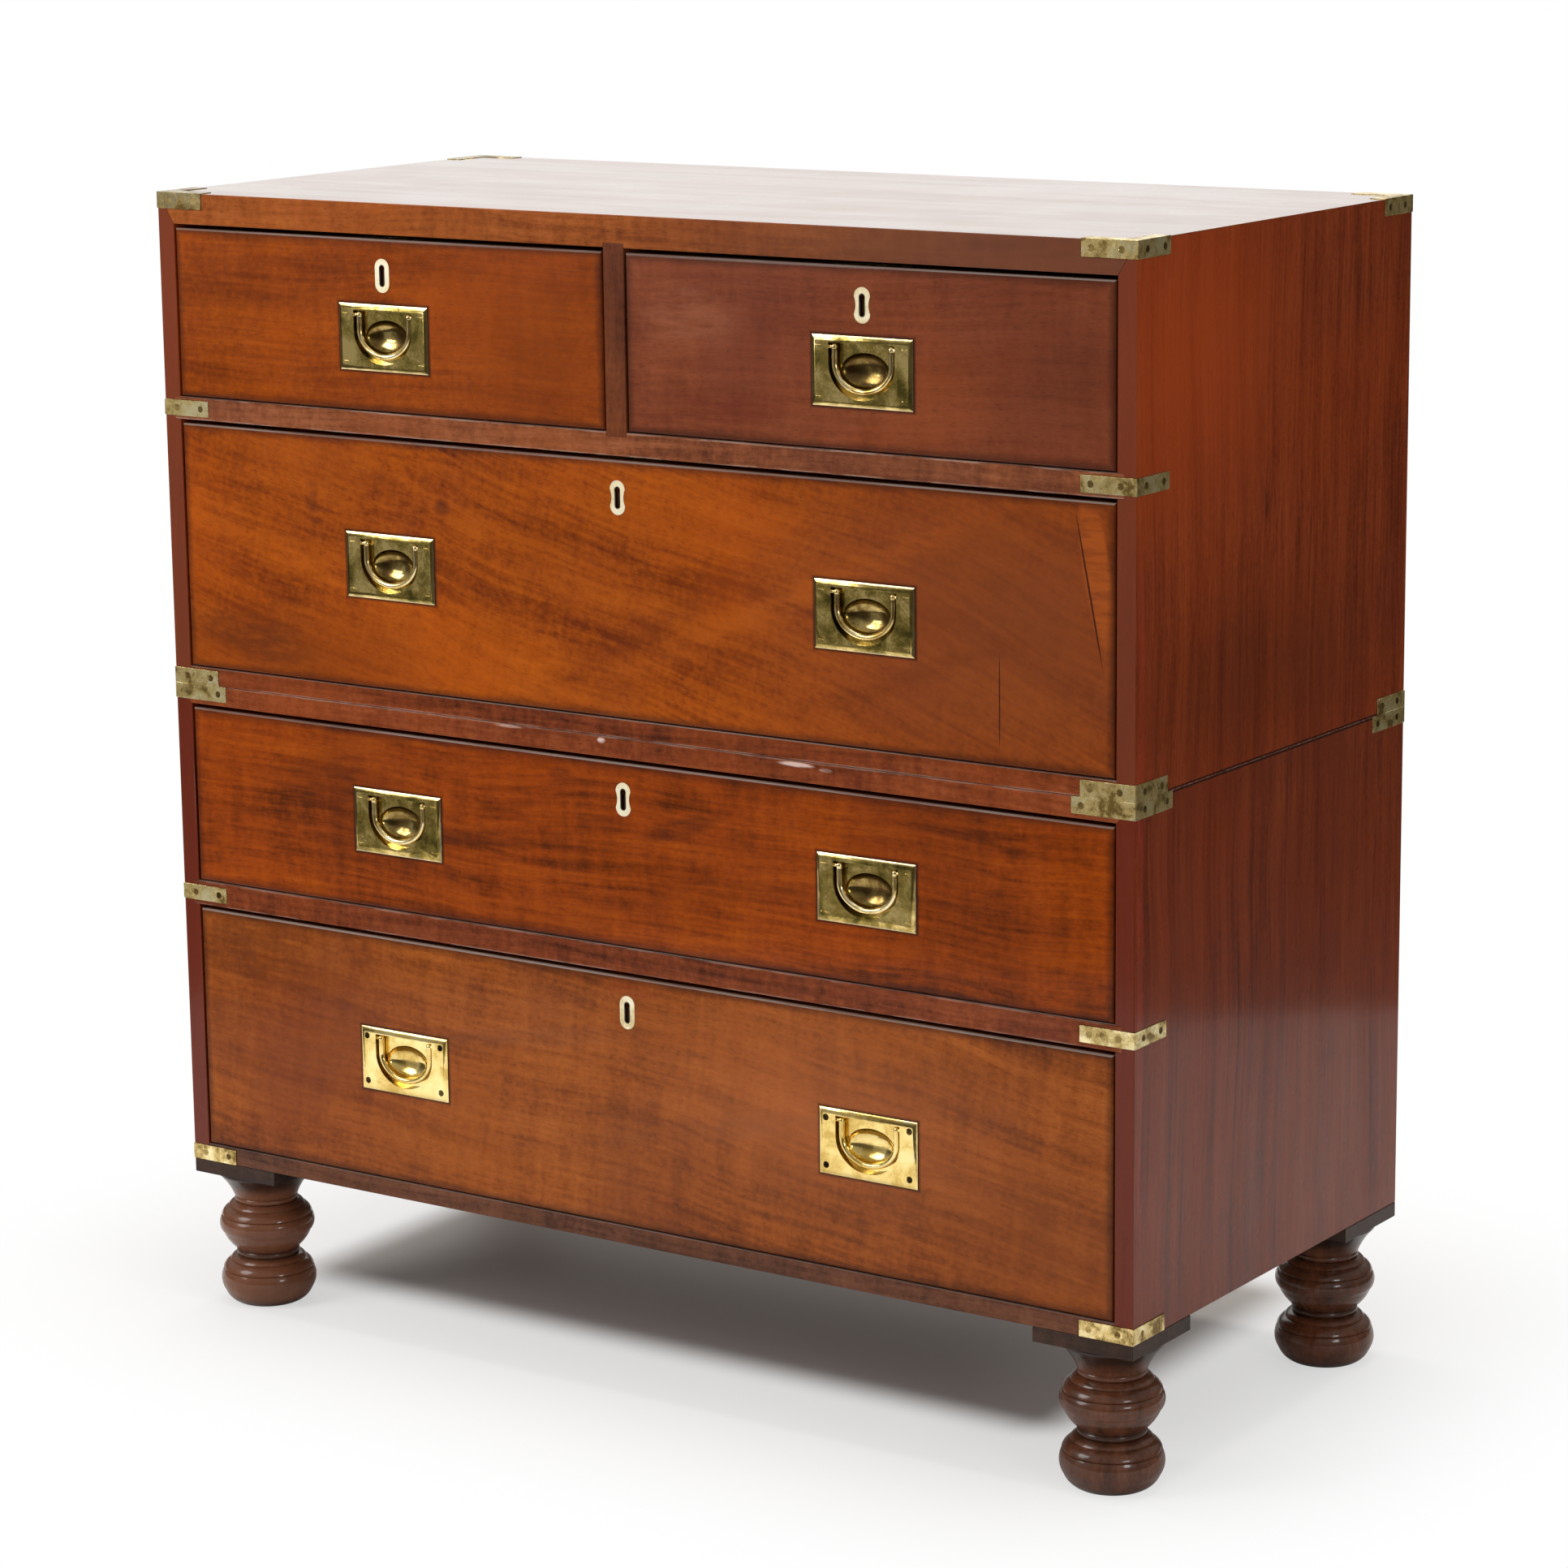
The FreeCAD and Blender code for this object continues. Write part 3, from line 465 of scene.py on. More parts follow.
def closedSurface(nodeName, points, faces, material, sharp):
    # points in rows of rings; faces are turned outwards if the volume they enclose comes out negative
    corners = points[faces[:, :3]]
    volume = np.einsum("ij,ij->i", corners[:, 0], np.cross(corners[:, 1], corners[:, 2])).sum()
    if volume < 0:
        faces = faces[:, ::-1]
    mesh = bpy.data.meshes.new(nodeName + "_surface")
    mesh.from_pydata(points.tolist(), [], faces.tolist())
    bm = bmesh.new()
    bm.from_mesh(mesh)
    bmesh.ops.remove_doubles(bm, verts=bm.verts, dist=1e-7)
    for face in bm.faces:
        face.smooth = True
    bm.to_mesh(mesh)
    bm.free()
    mesh.set_sharp_from_angle(angle=math.radians(sharp))
    mesh.materials.append(material)
    piece = bpy.data.objects.new(nodeName + "_surface", mesh)
    scene.collection.objects.link(piece)
    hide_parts(nodeName)
    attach(piece, bodyOf[nodeName])
    return piece


def ringFaces(rings, sides, first=0):
    # quads between ring i and ring i + 1, closed round the ring
    i, j = np.meshgrid(np.arange(rings - 1), np.arange(sides), indexing="ij")
    near, far = j.ravel() + i.ravel() * sides, (j.ravel() + 1) % sides + i.ravel() * sides
    return np.stack([near, far, far + sides, near + sides], axis=1) + first


# turned feet

footLook = {
    "sides": 160, "arcSteps": 14, "sharp": 24.0, "spigotRadius": 13.0, "spigotLength": 26.0, "spigotChamfer": 1.5,
    # each stretch of the outline: radius and drop below the block where it ends, bulge out from its chord
    "outline": [
        ("collar top", 42.5, 0.0, 0.0), ("collar", 42.5, 3.6, 0.7), ("cove", 29.0, 24.5, -1.3),
        ("step", 27.6, 24.5, 0.0), ("ring", 27.6, 30.0, 1.4), ("bead", 34.6, 34.2, 1.1),
        ("quirk", 34.2, 35.2, 0.0), ("shoulder", 41.3, 42.5, 1.3),
        ("groove", 40.3, 43.2, 0.0), ("groove end", 41.3, 43.9, 0.0), ("belly", 40.3, 59.1, 2.7),
        ("turn", 27.6, 75.6, 1.4), ("ring", 27.6, 81.1, 1.4), ("bead", 34.6, 85.3, 1.1),
        ("quirk", 34.2, 86.3, 0.0), ("shoulder", 41.3, 93.6, 1.3),
        ("groove", 40.3, 94.3, 0.0), ("groove end", 41.3, 95.0, 0.0), ("belly", 40.3, 114.5, 2.7),
        ("toe", 30.5, 125.0, 1.4), ("sole", 0.0, 125.0, 0.0),
    ],
}


def arcBetween(start, finish, bulge, steps):
    # circle through both ends with sagitta h = bulge: R = (c^2 / 4 + h^2) / 2h, and an angle swept evenly
    t = np.linspace(0, 1, steps + 1)[1:]
    start, finish = np.array(start), np.array(finish)
    if not bulge:
        return start + (finish - start) * t[-1:, None]
    chord = finish - start
    length = np.linalg.norm(chord)
    outward = np.array([chord[1], -chord[0]]) / length
    radius = (length ** 2 / 4 + bulge ** 2) / (2 * abs(bulge))
    half = math.atan2(length / 2, radius - abs(bulge))
    angle = (2 * t - 1) * half
    across = radius * np.sin(angle) / length + 0.5
    rise = (radius * np.cos(angle) - radius + abs(bulge)) * math.copysign(1, bulge)
    return start + across[:, None] * chord + rise[:, None] * outward


def turnedFoot(nodeName, material):
    # surface of revolution: (r cos a, r sin a, z) about the foot's own axis
    low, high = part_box(nodeName)
    centre = (low + high) / 2
    length = footLook["spigotLength"]
    chamfer = footLook["spigotChamfer"]
    spigot = footLook["spigotRadius"]
    outline = [np.array([[0.0, -length], [spigot - chamfer, -length], [spigot, chamfer - length],
                         [spigot, 0.0]])]
    here = (spigot, 0.0)
    for _, radius, drop, bulge in footLook["outline"]:
        outline.append(arcBetween(here, (radius, drop), bulge, footLook["arcSteps"]))
        here = (radius, drop)
    profile = np.concatenate(outline)
    footTop = high.z - length * mm
    sides = footLook["sides"]
    a = np.arange(sides) * 2 * math.pi / sides
    radius, z = profile[:, :1] * mm, footTop - profile[:, 1:] * mm
    points = np.stack([centre.x + radius * np.cos(a), centre.y + radius * np.sin(a), z + 0 * a], axis=2)
    faces = ringFaces(len(profile), sides)
    return closedSurface(nodeName, points.reshape(-1, 3), faces, material, footLook["sharp"])


# drop handles

bailLook = {
    "radius": 2.6, "pinRadius": 1.6, "pinLength": 7.0, "pinChamfer": 0.3, "pinTip": 0.82, "gripHeight": 13.0,
    "sides": 32, "cheekSteps": 10, "gripSteps": 96, "eyeSteps": 12, "sharp": 40.0,
}


def sweptTube(path, radii, sides, across):
    # rings of the given radius, each square to the path: centre + r (cos a * n + sin a * across)
    tangent = np.gradient(path, axis=0)
    tangent /= np.linalg.norm(tangent, axis=1)[:, None]
    normal = np.cross(across, tangent)
    a = np.arange(sides) * 2 * math.pi / sides
    ring = np.cos(a)[None, :, None] * normal[:, None, :] + np.sin(a)[None, :, None] * across
    points = path[:, None, :] + radii[:, None, None] * ring
    return points.reshape(-1, 3), ringFaces(len(path), sides)


def dropHandle(nodeName, material):
    # a round bar along two straight cheeks and a half ellipse, with a ball and a pin at each end
    low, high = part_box(nodeName)
    middle = (low + high) / 2
    eye = (high.y - low.y) / 2
    half = (high.x - low.x) / 2 - bailLook["pinLength"] * mm
    pivot = high.z - eye
    bar = bailLook["radius"] * mm
    gripTop = pivot - bailLook["gripHeight"] * mm
    drop = gripTop - low.z - bar
    axis = np.array([0.0, 1.0, 0.0])

    # down the left cheek, starting at the ball's crown, where the radius is a circle's: sqrt(R^2 - d^2)
    ball = np.cos(np.linspace(0, math.pi, 2 * bailLook["eyeSteps"] + 1))
    neck = -math.sqrt(eye ** 2 - bar ** 2)
    heights = np.append((ball * eye)[ball * eye > neck], neck)
    ballRadii = np.sqrt(np.clip(eye ** 2 - heights ** 2, 0, None))
    cheek = np.linspace(pivot + neck, gripTop, bailLook["cheekSteps"])[1:]
    leftZ = np.concatenate([pivot + heights, cheek])
    leftRadii = np.concatenate([ballRadii, np.full(len(cheek), bar)])
    a = np.linspace(math.pi, 2 * math.pi, bailLook["gripSteps"])[1:-1]
    grip = np.stack([half * np.cos(a), 0 * a, gripTop + drop * np.sin(a)], axis=1)
    left = np.stack([np.full(len(leftZ), -half), 0 * leftZ, leftZ], axis=1)
    right = left[::-1] * np.array([-1.0, 1.0, 1.0])
    path = np.concatenate([left, grip, right]) + np.array([middle.x, middle.y, 0.0])
    radii = np.concatenate([leftRadii, np.full(len(grip), bar), leftRadii[::-1]])
    points, faces = sweptTube(path, radii, bailLook["sides"], axis)

    # each pin is turned about X, with a small chamfer at its tip
    length, chamfer = bailLook["pinLength"], bailLook["pinChamfer"]
    reach = np.array([0.0, 0.0, length - chamfer, length, length]) * mm
    pinRadii = np.array([0.0, 1.0, 1.0, bailLook["pinTip"], 0.0]) * bailLook["pinRadius"] * mm
    turn = np.arange(bailLook["sides"]) * 2 * math.pi / bailLook["sides"]
    for side in (-1, 1):
        pin = np.stack([
            middle.x + side * (half + reach[:, None]) + 0 * turn,
            middle.y + pinRadii[:, None] * np.cos(turn),
            pivot + side * pinRadii[:, None] * np.sin(turn),
        ], axis=2).reshape(-1, 3)
        faces = np.concatenate([faces, ringFaces(len(reach), bailLook["sides"], first=len(points))])
        points = np.concatenate([points, pin])
    return closedSurface(nodeName, points, faces, material, bailLook["sharp"])


# the woods of this chest

sideGrain = {"figure": (1.4, 46), "streak": (5, 300), "figureShare": 0.44, "streakShare": 0.36,
             "curlShare": 0.04, "mottleShare": 0.16, "ripple": 0.03}
rawBoard = {"figureShare": 0.44, "streakShare": 0.38, "curlShare": 0.03, "mottleShare": 0.15, "coat": 0.0,
            "specular": 0.25}
caseLooks = {
    "upperSide": {"dark": (92, 32, 8), "mid": (120, 48, 17), "light": (138, 58, 22), "warm": (138, 52, 10),
                  "cool": (100, 36, 18), "seed": 1.3, "faces": ((1, (110, 54, 34), 0.75),), **sideGrain},
    "lowerSide": {"dark": (78, 26, 8), "mid": (106, 40, 13), "light": (122, 50, 18), "warm": (120, 43, 10),
                  "cool": (90, 32, 17), "seed": 4.1, "faces": ((1, (98, 30, 9), 0.75),), **sideGrain,
                  "coat": 0.5},
    # the rails and the base carry a painted highlight on their upper front edges
    "upperRail": {"dark": (86, 42, 24), "mid": (130, 72, 42), "light": (158, 94, 60), "warm": (156, 82, 36),
                  "cool": (98, 54, 42), "seed": 3.3, "arrisHighlightAmount": 0.6, "rubAndGlintAmount": 0.5},
    "lowerRail": {"dark": (72, 29, 12), "mid": (118, 54, 24), "light": (146, 74, 38), "warm": (146, 66, 20),
                  "cool": (86, 40, 28), "seed": 3.3, "arrisHighlightAmount": 0.7, "rubAndGlintAmount": 0.32},
    "partition": {"dark": (66, 30, 13), "mid": (100, 51, 27), "light": (119, 63, 35), "warm": (118, 58, 22),
                  "cool": (78, 39, 28), "seed": 2.2},
    "base": {"dark": (52, 28, 18), "mid": (94, 56, 38), "light": (116, 72, 50), "warm": (110, 62, 34),
             "cool": (74, 46, 38), "seed": 5.9, "arrisHighlightAmount": 0.4},
    # painted sheen: faces looking up or down are painted paler and greyer, like the backdrop reflected in the top
    "top": {"dark": (110, 52, 14), "mid": (150, 78, 28), "light": (174, 98, 44), "warm": (162, 78, 20),
            "seed": 7.7, "coat": 1.0, "coatRough": 0.10, "coatPatch": 0.12, "coatUpOnly": True,
            "rough": (0.26, 0.40), "relief": 0.05, "faces": ((2, (112, 90, 78), 0.8),)},
    "feet": {"dark": (40, 23, 15), "mid": (88, 51, 33), "light": (118, 70, 46), "warm": (108, 56, 30),
             "cool": (64, 40, 30), "seed": 2.9, "specular": 0.15, "coat": 0.6, "coatRough": 0.12,
             "figure": (9, 60), "streak": (22, 260), "spread": 0.18},
    "block": {"dark": (24, 17, 14), "mid": (50, 34, 27), "light": (78, 52, 40), "warm": (70, 42, 28),
              "cool": (38, 30, 30), "seed": 6.6, "coat": 0.3, "coatRough": 0.25, "spread": 0.18},
    "lining": {"dark": (120, 84, 52), "mid": (158, 118, 76), "light": (178, 140, 96), "warm": (164, 116, 66),
               "cool": (128, 98, 70), "seed": 5.3, "rough": (0.62, 0.78), "darkAndShade": (84, 58, 38),
               "ripple": 0.02, "figure": (1.6, 44), "streak": (4, 260), **rawBoard},
    "back": {"dark": (86, 58, 36), "mid": (120, 86, 54), "light": (142, 106, 70), "warm": (126, 84, 46),
             "cool": (94, 70, 52), "seed": 8.2, "rough": (0.64, 0.8), "darkAndShade": (58, 40, 28),
             "ripple": 0.03, "figure": (1.2, 34), "streak": (3, 220), **rawBoard},
}
# pale flecks on the edges at the joint: wear, with painted highlight
railWearAndGlints = [
    mark((0.176, 0.5785), (0.021, 0.0026), (232, 204, 192), 0.75, core=0.5),
    mark((0.205, 0.5765), (0.008, 0.0022), (220, 192, 180), 0.65, core=0.5),
    mark((-0.022, 0.5780), (0.005, 0.0030), (232, 206, 194), 0.8, core=0.5),
    mark((-0.120, 0.5800), (0.018, 0.0018), (206, 172, 158), 0.6, core=0.4),
]
for spot in railWearAndGlints:
    spot["depth"] = (frontY, 0.1)      # not on the boards' back edges
sideMarks = [
    mark((-0.15, 0.93), (0.26, 0.22), (170, 66, 18), 0.55, core=0.0, broken=False),
    mark((-0.221, 0.50), (0.006, 0.36), (150, 44, 34), 0.4, core=0.6),
    mark((-0.02, 0.655), (0.34, 0.13), (74, 27, 9), 0.5, core=0.0, broken=False),
    mark((0.0, 0.582), (0.9, 0.0026), (26, 11, 8), 0.9, core=0.6, broken=False),
    mark((-0.021, 0.791), (0.008, 0.022), (52, 22, 16), 0.5),
    mark((0.105, 0.308), (0.012, 0.020), (52, 22, 16), 0.45),
    mark((0.187, 0.547), (0.010, 0.034), (56, 24, 18), 0.45),
]
woods = {}


def woodOf(lookName, grainAxis=None, **extras):
    # picks the finish of each board: the grain runs along its longest side unless an axis is given
    def choose(low, high):
        along = int(np.argmax(high - low)) if grainAxis is None else grainAxis
        key = lookName + "Grain" + "XYZ"[along] + ("Marked" if extras else "")
        if key not in woods:
            woods[key] = woodFinish(key, caseLooks[lookName], along, **extras)
        return woods[key]
    return choose


boardEase, brassEase = 0.7 * mm, 0.3 * mm
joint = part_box("upper_bottom")[0].z
railEdges = [end.z for node in ("upper_divider", "lower_divider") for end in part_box(node)]
for case in ("upper", "lower"):
    dress(case + "_sides", woodOf(case + "Side", 2, marks=sideMarks, plane=(1, 2)), boardEase)
    dress(case + "_divider", woodOf(case + "Rail", marks=railWearAndGlints, rubbed=[joint] + railEdges), boardEase)
    dress(case + "_back", woodOf("back"), boardEase)
topMarks = [
    mark((0.45, 1.0), (0.50, 0.10), (104, 62, 46), 0.8, core=0.2, broken=False, depth=(frontY, 0.02)),
]
dress("upper_top", woodOf("top", marks=topMarks), boardEase)
for board in ("upper_bottom", "lower_top"):
    dress(board, woodOf("lowerRail", marks=railWearAndGlints, rubbed=[joint] + railEdges), boardEase)
dress("lower_base", woodOf("base"), boardEase)
dress("upper_partition", woodOf("partition", 2), boardEase)
dress("foot_blocks", woodOf("block", 0), boardEase)
dress("locating_pegs", woodOf("lining", 2))
print("cases dressed")

frontLooks = {
    "left_short_drawer": {
        "dark": (106, 42, 4), "mid": (141, 62, 5), "light": (167, 79, 10), "seed": 0.4, "spread": 0.13,
        "curlShare": 0.12,
    },
    "right_short_drawer": {
        "dark": (94, 40, 20), "mid": (124, 61, 33), "light": (142, 74, 44), "warm": (148, 68, 24),
        "cool": (102, 48, 38), "seed": 3.6, "spread": 0.18, "coat": 0.3,
    },
    "deep_drawer": {
        "dark": (104, 40, 3), "mid": (150, 68, 5), "light": (174, 84, 10), "seed": 6.1, "tilt": -15.0,
        "bend": 0.10, "figureShare": 0.42, "curlShare": 0.10,
    },
    "shallow_drawer": {
        "dark": (84, 32, 1), "mid": (136, 56, 2), "light": (160, 72, 5), "warm": (154, 62, 2),
        "cool": (104, 42, 9), "seed": 9.4, "bend": 0.08, "figure": (3.0, 42), "streakShare": 0.34,
        "mottleShare": 0.16, "curlShare": 0.16, "spread": 0.12,
    },
    "bottom_drawer": {
        "dark": (98, 46, 12), "mid": (140, 70, 19), "light": (164, 88, 30), "warm": (160, 80, 15),
        "cool": (114, 58, 32), "seed": 12.8, "tilt": -6.0, "bend": 0.08,
    },
}
frontMarks = {
    "left_short_drawer": [
        mark((-0.08, 0.91), (0.16, 0.14), (124, 54, 12), 0.5, core=0.0, broken=False),
    ],
    "right_short_drawer": [
        # painted sheen: a pale greyish haze near the top of the front
        mark((0.076, 0.940), (0.07, 0.035), (168, 102, 72), 0.35),
        mark((0.115, 0.869), (0.07, 0.022), (98, 34, 20), 0.45),
        # painted shade: the right end of the front painted darker and greyer
        mark((0.43, 0.915), (0.16, 0.13), (92, 40, 24), 0.45, core=0.0, broken=False),
    ],
    "deep_drawer": [
        # painted shade: the right part of the front painted darker and greyer
        mark((0.38, 0.70), (0.36, 0.22), (120, 60, 30), 0.75, core=0.0, broken=False),
        mark((0.15, 0.705), (0.34, 0.022), (186, 92, 22), 0.4, core=0.0, turn=-24),
        mark((0.05, 0.69), (0.26, 0.020), (112, 46, 12), 0.45, core=0.0, turn=-30),
        mark((0.27, 0.655), (0.20, 0.016), (98, 42, 14), 0.4, core=0.0, turn=-20),
        mark((0.459, 0.765), (0.014, 0.075), (168, 82, 26), 0.75, core=0.7, turn=-9),
        mark((-0.36, 0.62), (0.26, 0.07), (108, 47, 8), 0.5, core=0.0, broken=False),
        mark((-0.40, 0.630), (0.085, 0.028), (74, 32, 14), 0.55, turn=8),
        mark((-0.329, 0.756), (0.010, 0.032), (84, 36, 16), 0.5),
        mark((-0.186, 0.763), (0.012, 0.010), (70, 30, 16), 0.6),
        mark((0.371, 0.650), (0.0007, 0.043), (44, 18, 10), 0.85, core=0.7, broken=False),
        mark((0.453, 0.746), (0.0011, 0.070), (48, 20, 10), 0.85, core=0.7, turn=-11.4, broken=False),
    ],
    "shallow_drawer": [
        mark((0.06, 0.512), (0.065, 0.012), (66, 26, 8), 0.6, turn=-20),
        mark((-0.326, 0.511), (0.09, 0.030), (82, 32, 6), 0.55),
        mark((-0.20, 0.474), (0.16, 0.012), (76, 30, 6), 0.5, turn=-6),
        mark((0.20, 0.470), (0.22, 0.014), (92, 36, 6), 0.4, turn=-4),
        mark((-0.066, 0.543), (0.018, 0.010), (58, 24, 10), 0.7),
    ],
    "bottom_drawer": [
        mark((0.006, 0.366), (0.05, 0.010), (116, 34, 18), 0.5),
        mark((-0.40, 0.345), (0.10, 0.045), (84, 42, 20), 0.5),
        mark((-0.15, 0.300), (0.24, 0.014), (104, 56, 34), 0.5, core=0.0, turn=-10),
        mark((0.12, 0.262), (0.26, 0.016), (102, 58, 38), 0.45, core=0.0, turn=-12),
        # painted shade: the right end of the front painted darker and greyer
        mark((0.42, 0.20), (0.20, 0.12), (112, 54, 24), 0.5, core=0.0, broken=False),
        mark((-0.36, 0.26), (0.22, 0.16), (116, 46, 10), 0.45, core=0.0, broken=False),
        mark((0.20, 0.28), (0.24, 0.13), (176, 100, 56), 0.4, core=0.0, broken=False),
    ],
}
platesLook = {"width": 96 * mm, "trayDepth": 5 * mm, "ringDepth": 3 * mm}


def platesOf(name):
    # the box of each handle plate: the node's box, or its two ends where a drawer has two plates
    low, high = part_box(name + "_handle_plates")
    width = platesLook["width"]
    if high.x - low.x < 2 * width:
        return [(low, high)]
    return [(low, Vector((low.x + width, high.y, high.z))), (Vector((high.x - width, low.y, low.z)), high)]


for name in drawers:
    # each front carries a painted highlight on its upper edge
    look = {"arrisHighlightAmount": 0.75, **frontLooks[name]}
    finish = woodFinish(name + "Mahogany", look, 0, frontMarks[name], rim=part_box(name + "_front"),
                        plates=platesOf(name))
    dress(name + "_front", lambda low, high: finish)
    dress(name + "_box", woodOf("lining"))
print("drawers dressed")

footLightAndShade = [
    # painted light: the front-left foot painted paler than the others
    mark((-0.43, 0.06), (0.12, 0.16), (132, 82, 56), 0.45, core=0.8, broken=False, depth=(-0.17, 0.12)),
    # painted shade: dark in the cove under the block, in the waist between the bulbs and where the foot meets the
    # floor
    mark((0.0, 0.128), (9.0, 0.026), (20, 13, 10), 0.85, core=0.45, broken=False),
    mark((0.0, 0.047), (9.0, 0.006), (24, 15, 11), 0.6, core=0.2, broken=False),
    mark((0.0, 0.0), (9.0, 0.010), (28, 18, 13), 0.6, core=0.2, broken=False),
]
footFinish = woodFinish("footMahogany", caseLooks["feet"], 2, footLightAndShade)
for place in ("front_left", "front_right", "back_left", "back_right"):
    turnedFoot(place + "_foot", footFinish)
print("feet turned")


# the brass of this chest

brassLooks = {
    "agedBrass": {"deepFrom": frontY + platesLook["trayDepth"], "polishAmount": 0.9},
    "gripBrass": {
        "dark": (160, 130, 66), "mid": (234, 208, 144), "light": (252, 238, 194),
        "rough": (0.15, 0.25),
    },
    "strapBrass": {
        "dark": (128, 104, 54), "mid": (222, 196, 130), "light": (250, 236, 184), "rough": (0.20, 0.38),
        "metal": 0.9, "dent": 0.25, "cloudScale": 58,
        # painted shade: the strap's upper left corner is painted darker, dimming its reflection
        "slot": Vector((-0.47, -0.23, 1.01)), "slotReach": (0.08, 0.0), "slotShade": (84, 66, 34),
        "slotShadeAmount": 0.6,
    },
    "brightBrass": {
        "dark": (212, 178, 98), "mid": (242, 214, 136), "light": (250, 230, 162),
        "rough": (0.10, 0.20),
    },
    "tarnishedScrews": {
        "dark": (34, 26, 16), "mid": (66, 50, 30), "light": (104, 82, 50),
        "rough": (0.35, 0.55),
    },
    "strapScrews": {
        "dark": (74, 56, 30), "mid": (136, 112, 66), "light": (186, 162, 104),
        "rough": (0.28, 0.44),
    },
}
brasses = {name: brassFinish(name, look) for name, look in brassLooks.items()}
ringLook = {"dark": (214, 194, 146), "mid": (242, 226, 186), "light": (250, 240, 208), "rough": (0.36, 0.52),
            "metal": 0.3}


def allOf(brassName):
    return lambda low, high: brasses[brassName]


def lockBrass(low, high):
    # the keyhole ring is the thin piece let into the face of the front, with painted shade round its keyhole
    if low.y < frontY and high.y - low.y < platesLook["ringDepth"]:
        return brassFinish("keyholeBrass", {**ringLook, "slot": (low + high) / 2})
    return brasses["strapBrass"]


for case in ("upper", "lower"):
    dress(case + "_straps", allOf("strapBrass"), brassEase)
    dress(case + "_strap_screws", allOf("strapScrews"))
for name in drawers:
    bright = name == "bottom_drawer"
    dress(name + "_lock", lockBrass)
    dress(name + "_bolt", allOf("strapBrass"), brassEase)
    dress(name + "_handle_plates", allOf("brightBrass" if bright else "agedBrass"))
    dress(name + "_screws", allOf("tarnishedScrews" if bright else "agedBrass"))
    for bail in [node for node in nodes if node.startswith(name) and node.endswith("bail")]:
        dropHandle(bail, brasses["brightBrass" if bright else "gripBrass"])
print("brass dressed")


# floor, light and camera

stageLook = {
    "radius": 1.65, "floorColour": (236, 234, 230), "shadeColour": (192, 185, 179), "sides": 128,
    "shadeFrom": (-0.44, -0.075), "shadeTo": (0.31, 0.30), "shadeEdge": 0.07,
    "fade": (0.08, 0.45), "fadeNear": 0.55,
    "ambient": 0.50, "roomColour": (78, 74, 66), "ceilingColour": (176, 174, 168),
    "ceilingFrom": (0.05, 0.45),
    "lamps": {
        "key": {"at": (-1.55, -2.0, 2.0), "to": (0.0, -0.1, 0.6), "size": (1.3, 1.1), "power": 30},
        "overhead": {"at": (0.0, 0.1, 2.8), "to": (0.0, 0.1, 0.0), "size": (1.6, 1.1), "power": 54},
        "right lamp": {"at": (2.6, -1.2, 1.15), "to": (0.3, 0.0, 0.5), "size": (0.6, 0.34), "power": 9},
        "low left lamp": {"at": (-1.6, -2.2, 1.2), "to": (0.0, -0.1, 0.4), "size": (0.8, 0.3), "power": 5.5},
        "back panel": {"at": (-1.7, 2.5, 1.75), "to": (0.0, 0.0, 1.0), "size": (2.6, 1.5), "power": 11},
        "front card": {"at": (-2.4, -3.4, 0.2), "to": (0.0, -0.2, 0.45), "size": (2.2, 1.8), "power": 3.2},
    },
}


def makeFloor():
    # a disc, (r cos a, r sin a, 0), in deep shade under what stands on it, deepened by a painted shadow in its
    # colour;
    # for the camera it turns to plain white with the distance d = |max(|place - middle| - half, 0)| from that
    # shade, first fast, then slowly
    sides = stageLook["sides"]
    a = np.arange(sides) * 2 * math.pi / sides
    points = np.stack([stageLook["radius"] * np.cos(a), stageLook["radius"] * np.sin(a), 0 * a], axis=1)
    mesh = bpy.data.meshes.new("floor")
    mesh.from_pydata(points.tolist(), [], [list(range(sides))])
    floor = bpy.data.objects.new("floor", mesh)
    scene.collection.objects.link(floor)
    f = Finish("floorPaper")
    low, high = Vector(stageLook["shadeFrom"]), Vector(stageLook["shadeTo"])
    middle, half = (low + high) / 2, (high - low) / 2
    away = f.arrow("ABSOLUTE", f.arrow("SUBTRACT", f.place, (middle.x, middle.y, 0.0)))
    outside = f.arrow("SUBTRACT", away, (half.x, half.y, 0.0))
    distance = f.arrow("LENGTH", f.arrow("MAXIMUM", outside, (0.0, 0.0, 0.0)))
    # painted shadow: the floor's own colour is darker inside the shade box, paling over its edge
    near = f.remap(distance, 0.0, stageLook["shadeEdge"])
    colour = f.mix(near, shown(*stageLook["shadeColour"]), shown(*stageLook["floorColour"]))
    share = stageLook["fadeNear"]
    fade = f.calc("MULTIPLY_ADD", near, share, f.remap(distance, *stageLook["fade"], 0.0, 1 - share))
    fade = f.calc("MULTIPLY", fade, f.add("ShaderNodeLightPath").outputs["Is Camera Ray"])
    f.feed(f.shader, Base_Color=colour, Roughness=0.6, Specular_IOR_Level=0.2)
    white = f.add("ShaderNodeEmission")
    both = f.add("ShaderNodeMixShader")
    output = next(node for node in f.tree.nodes if node.bl_idname == "ShaderNodeOutputMaterial")
    f.tree.links.new(fade, both.inputs[0])
    f.tree.links.new(f.shader.outputs[0], both.inputs[1])
    f.tree.links.new(white.outputs[0], both.inputs[2])
    f.tree.links.new(both.outputs[0], output.inputs[0])
    mesh.materials.append(f.material)


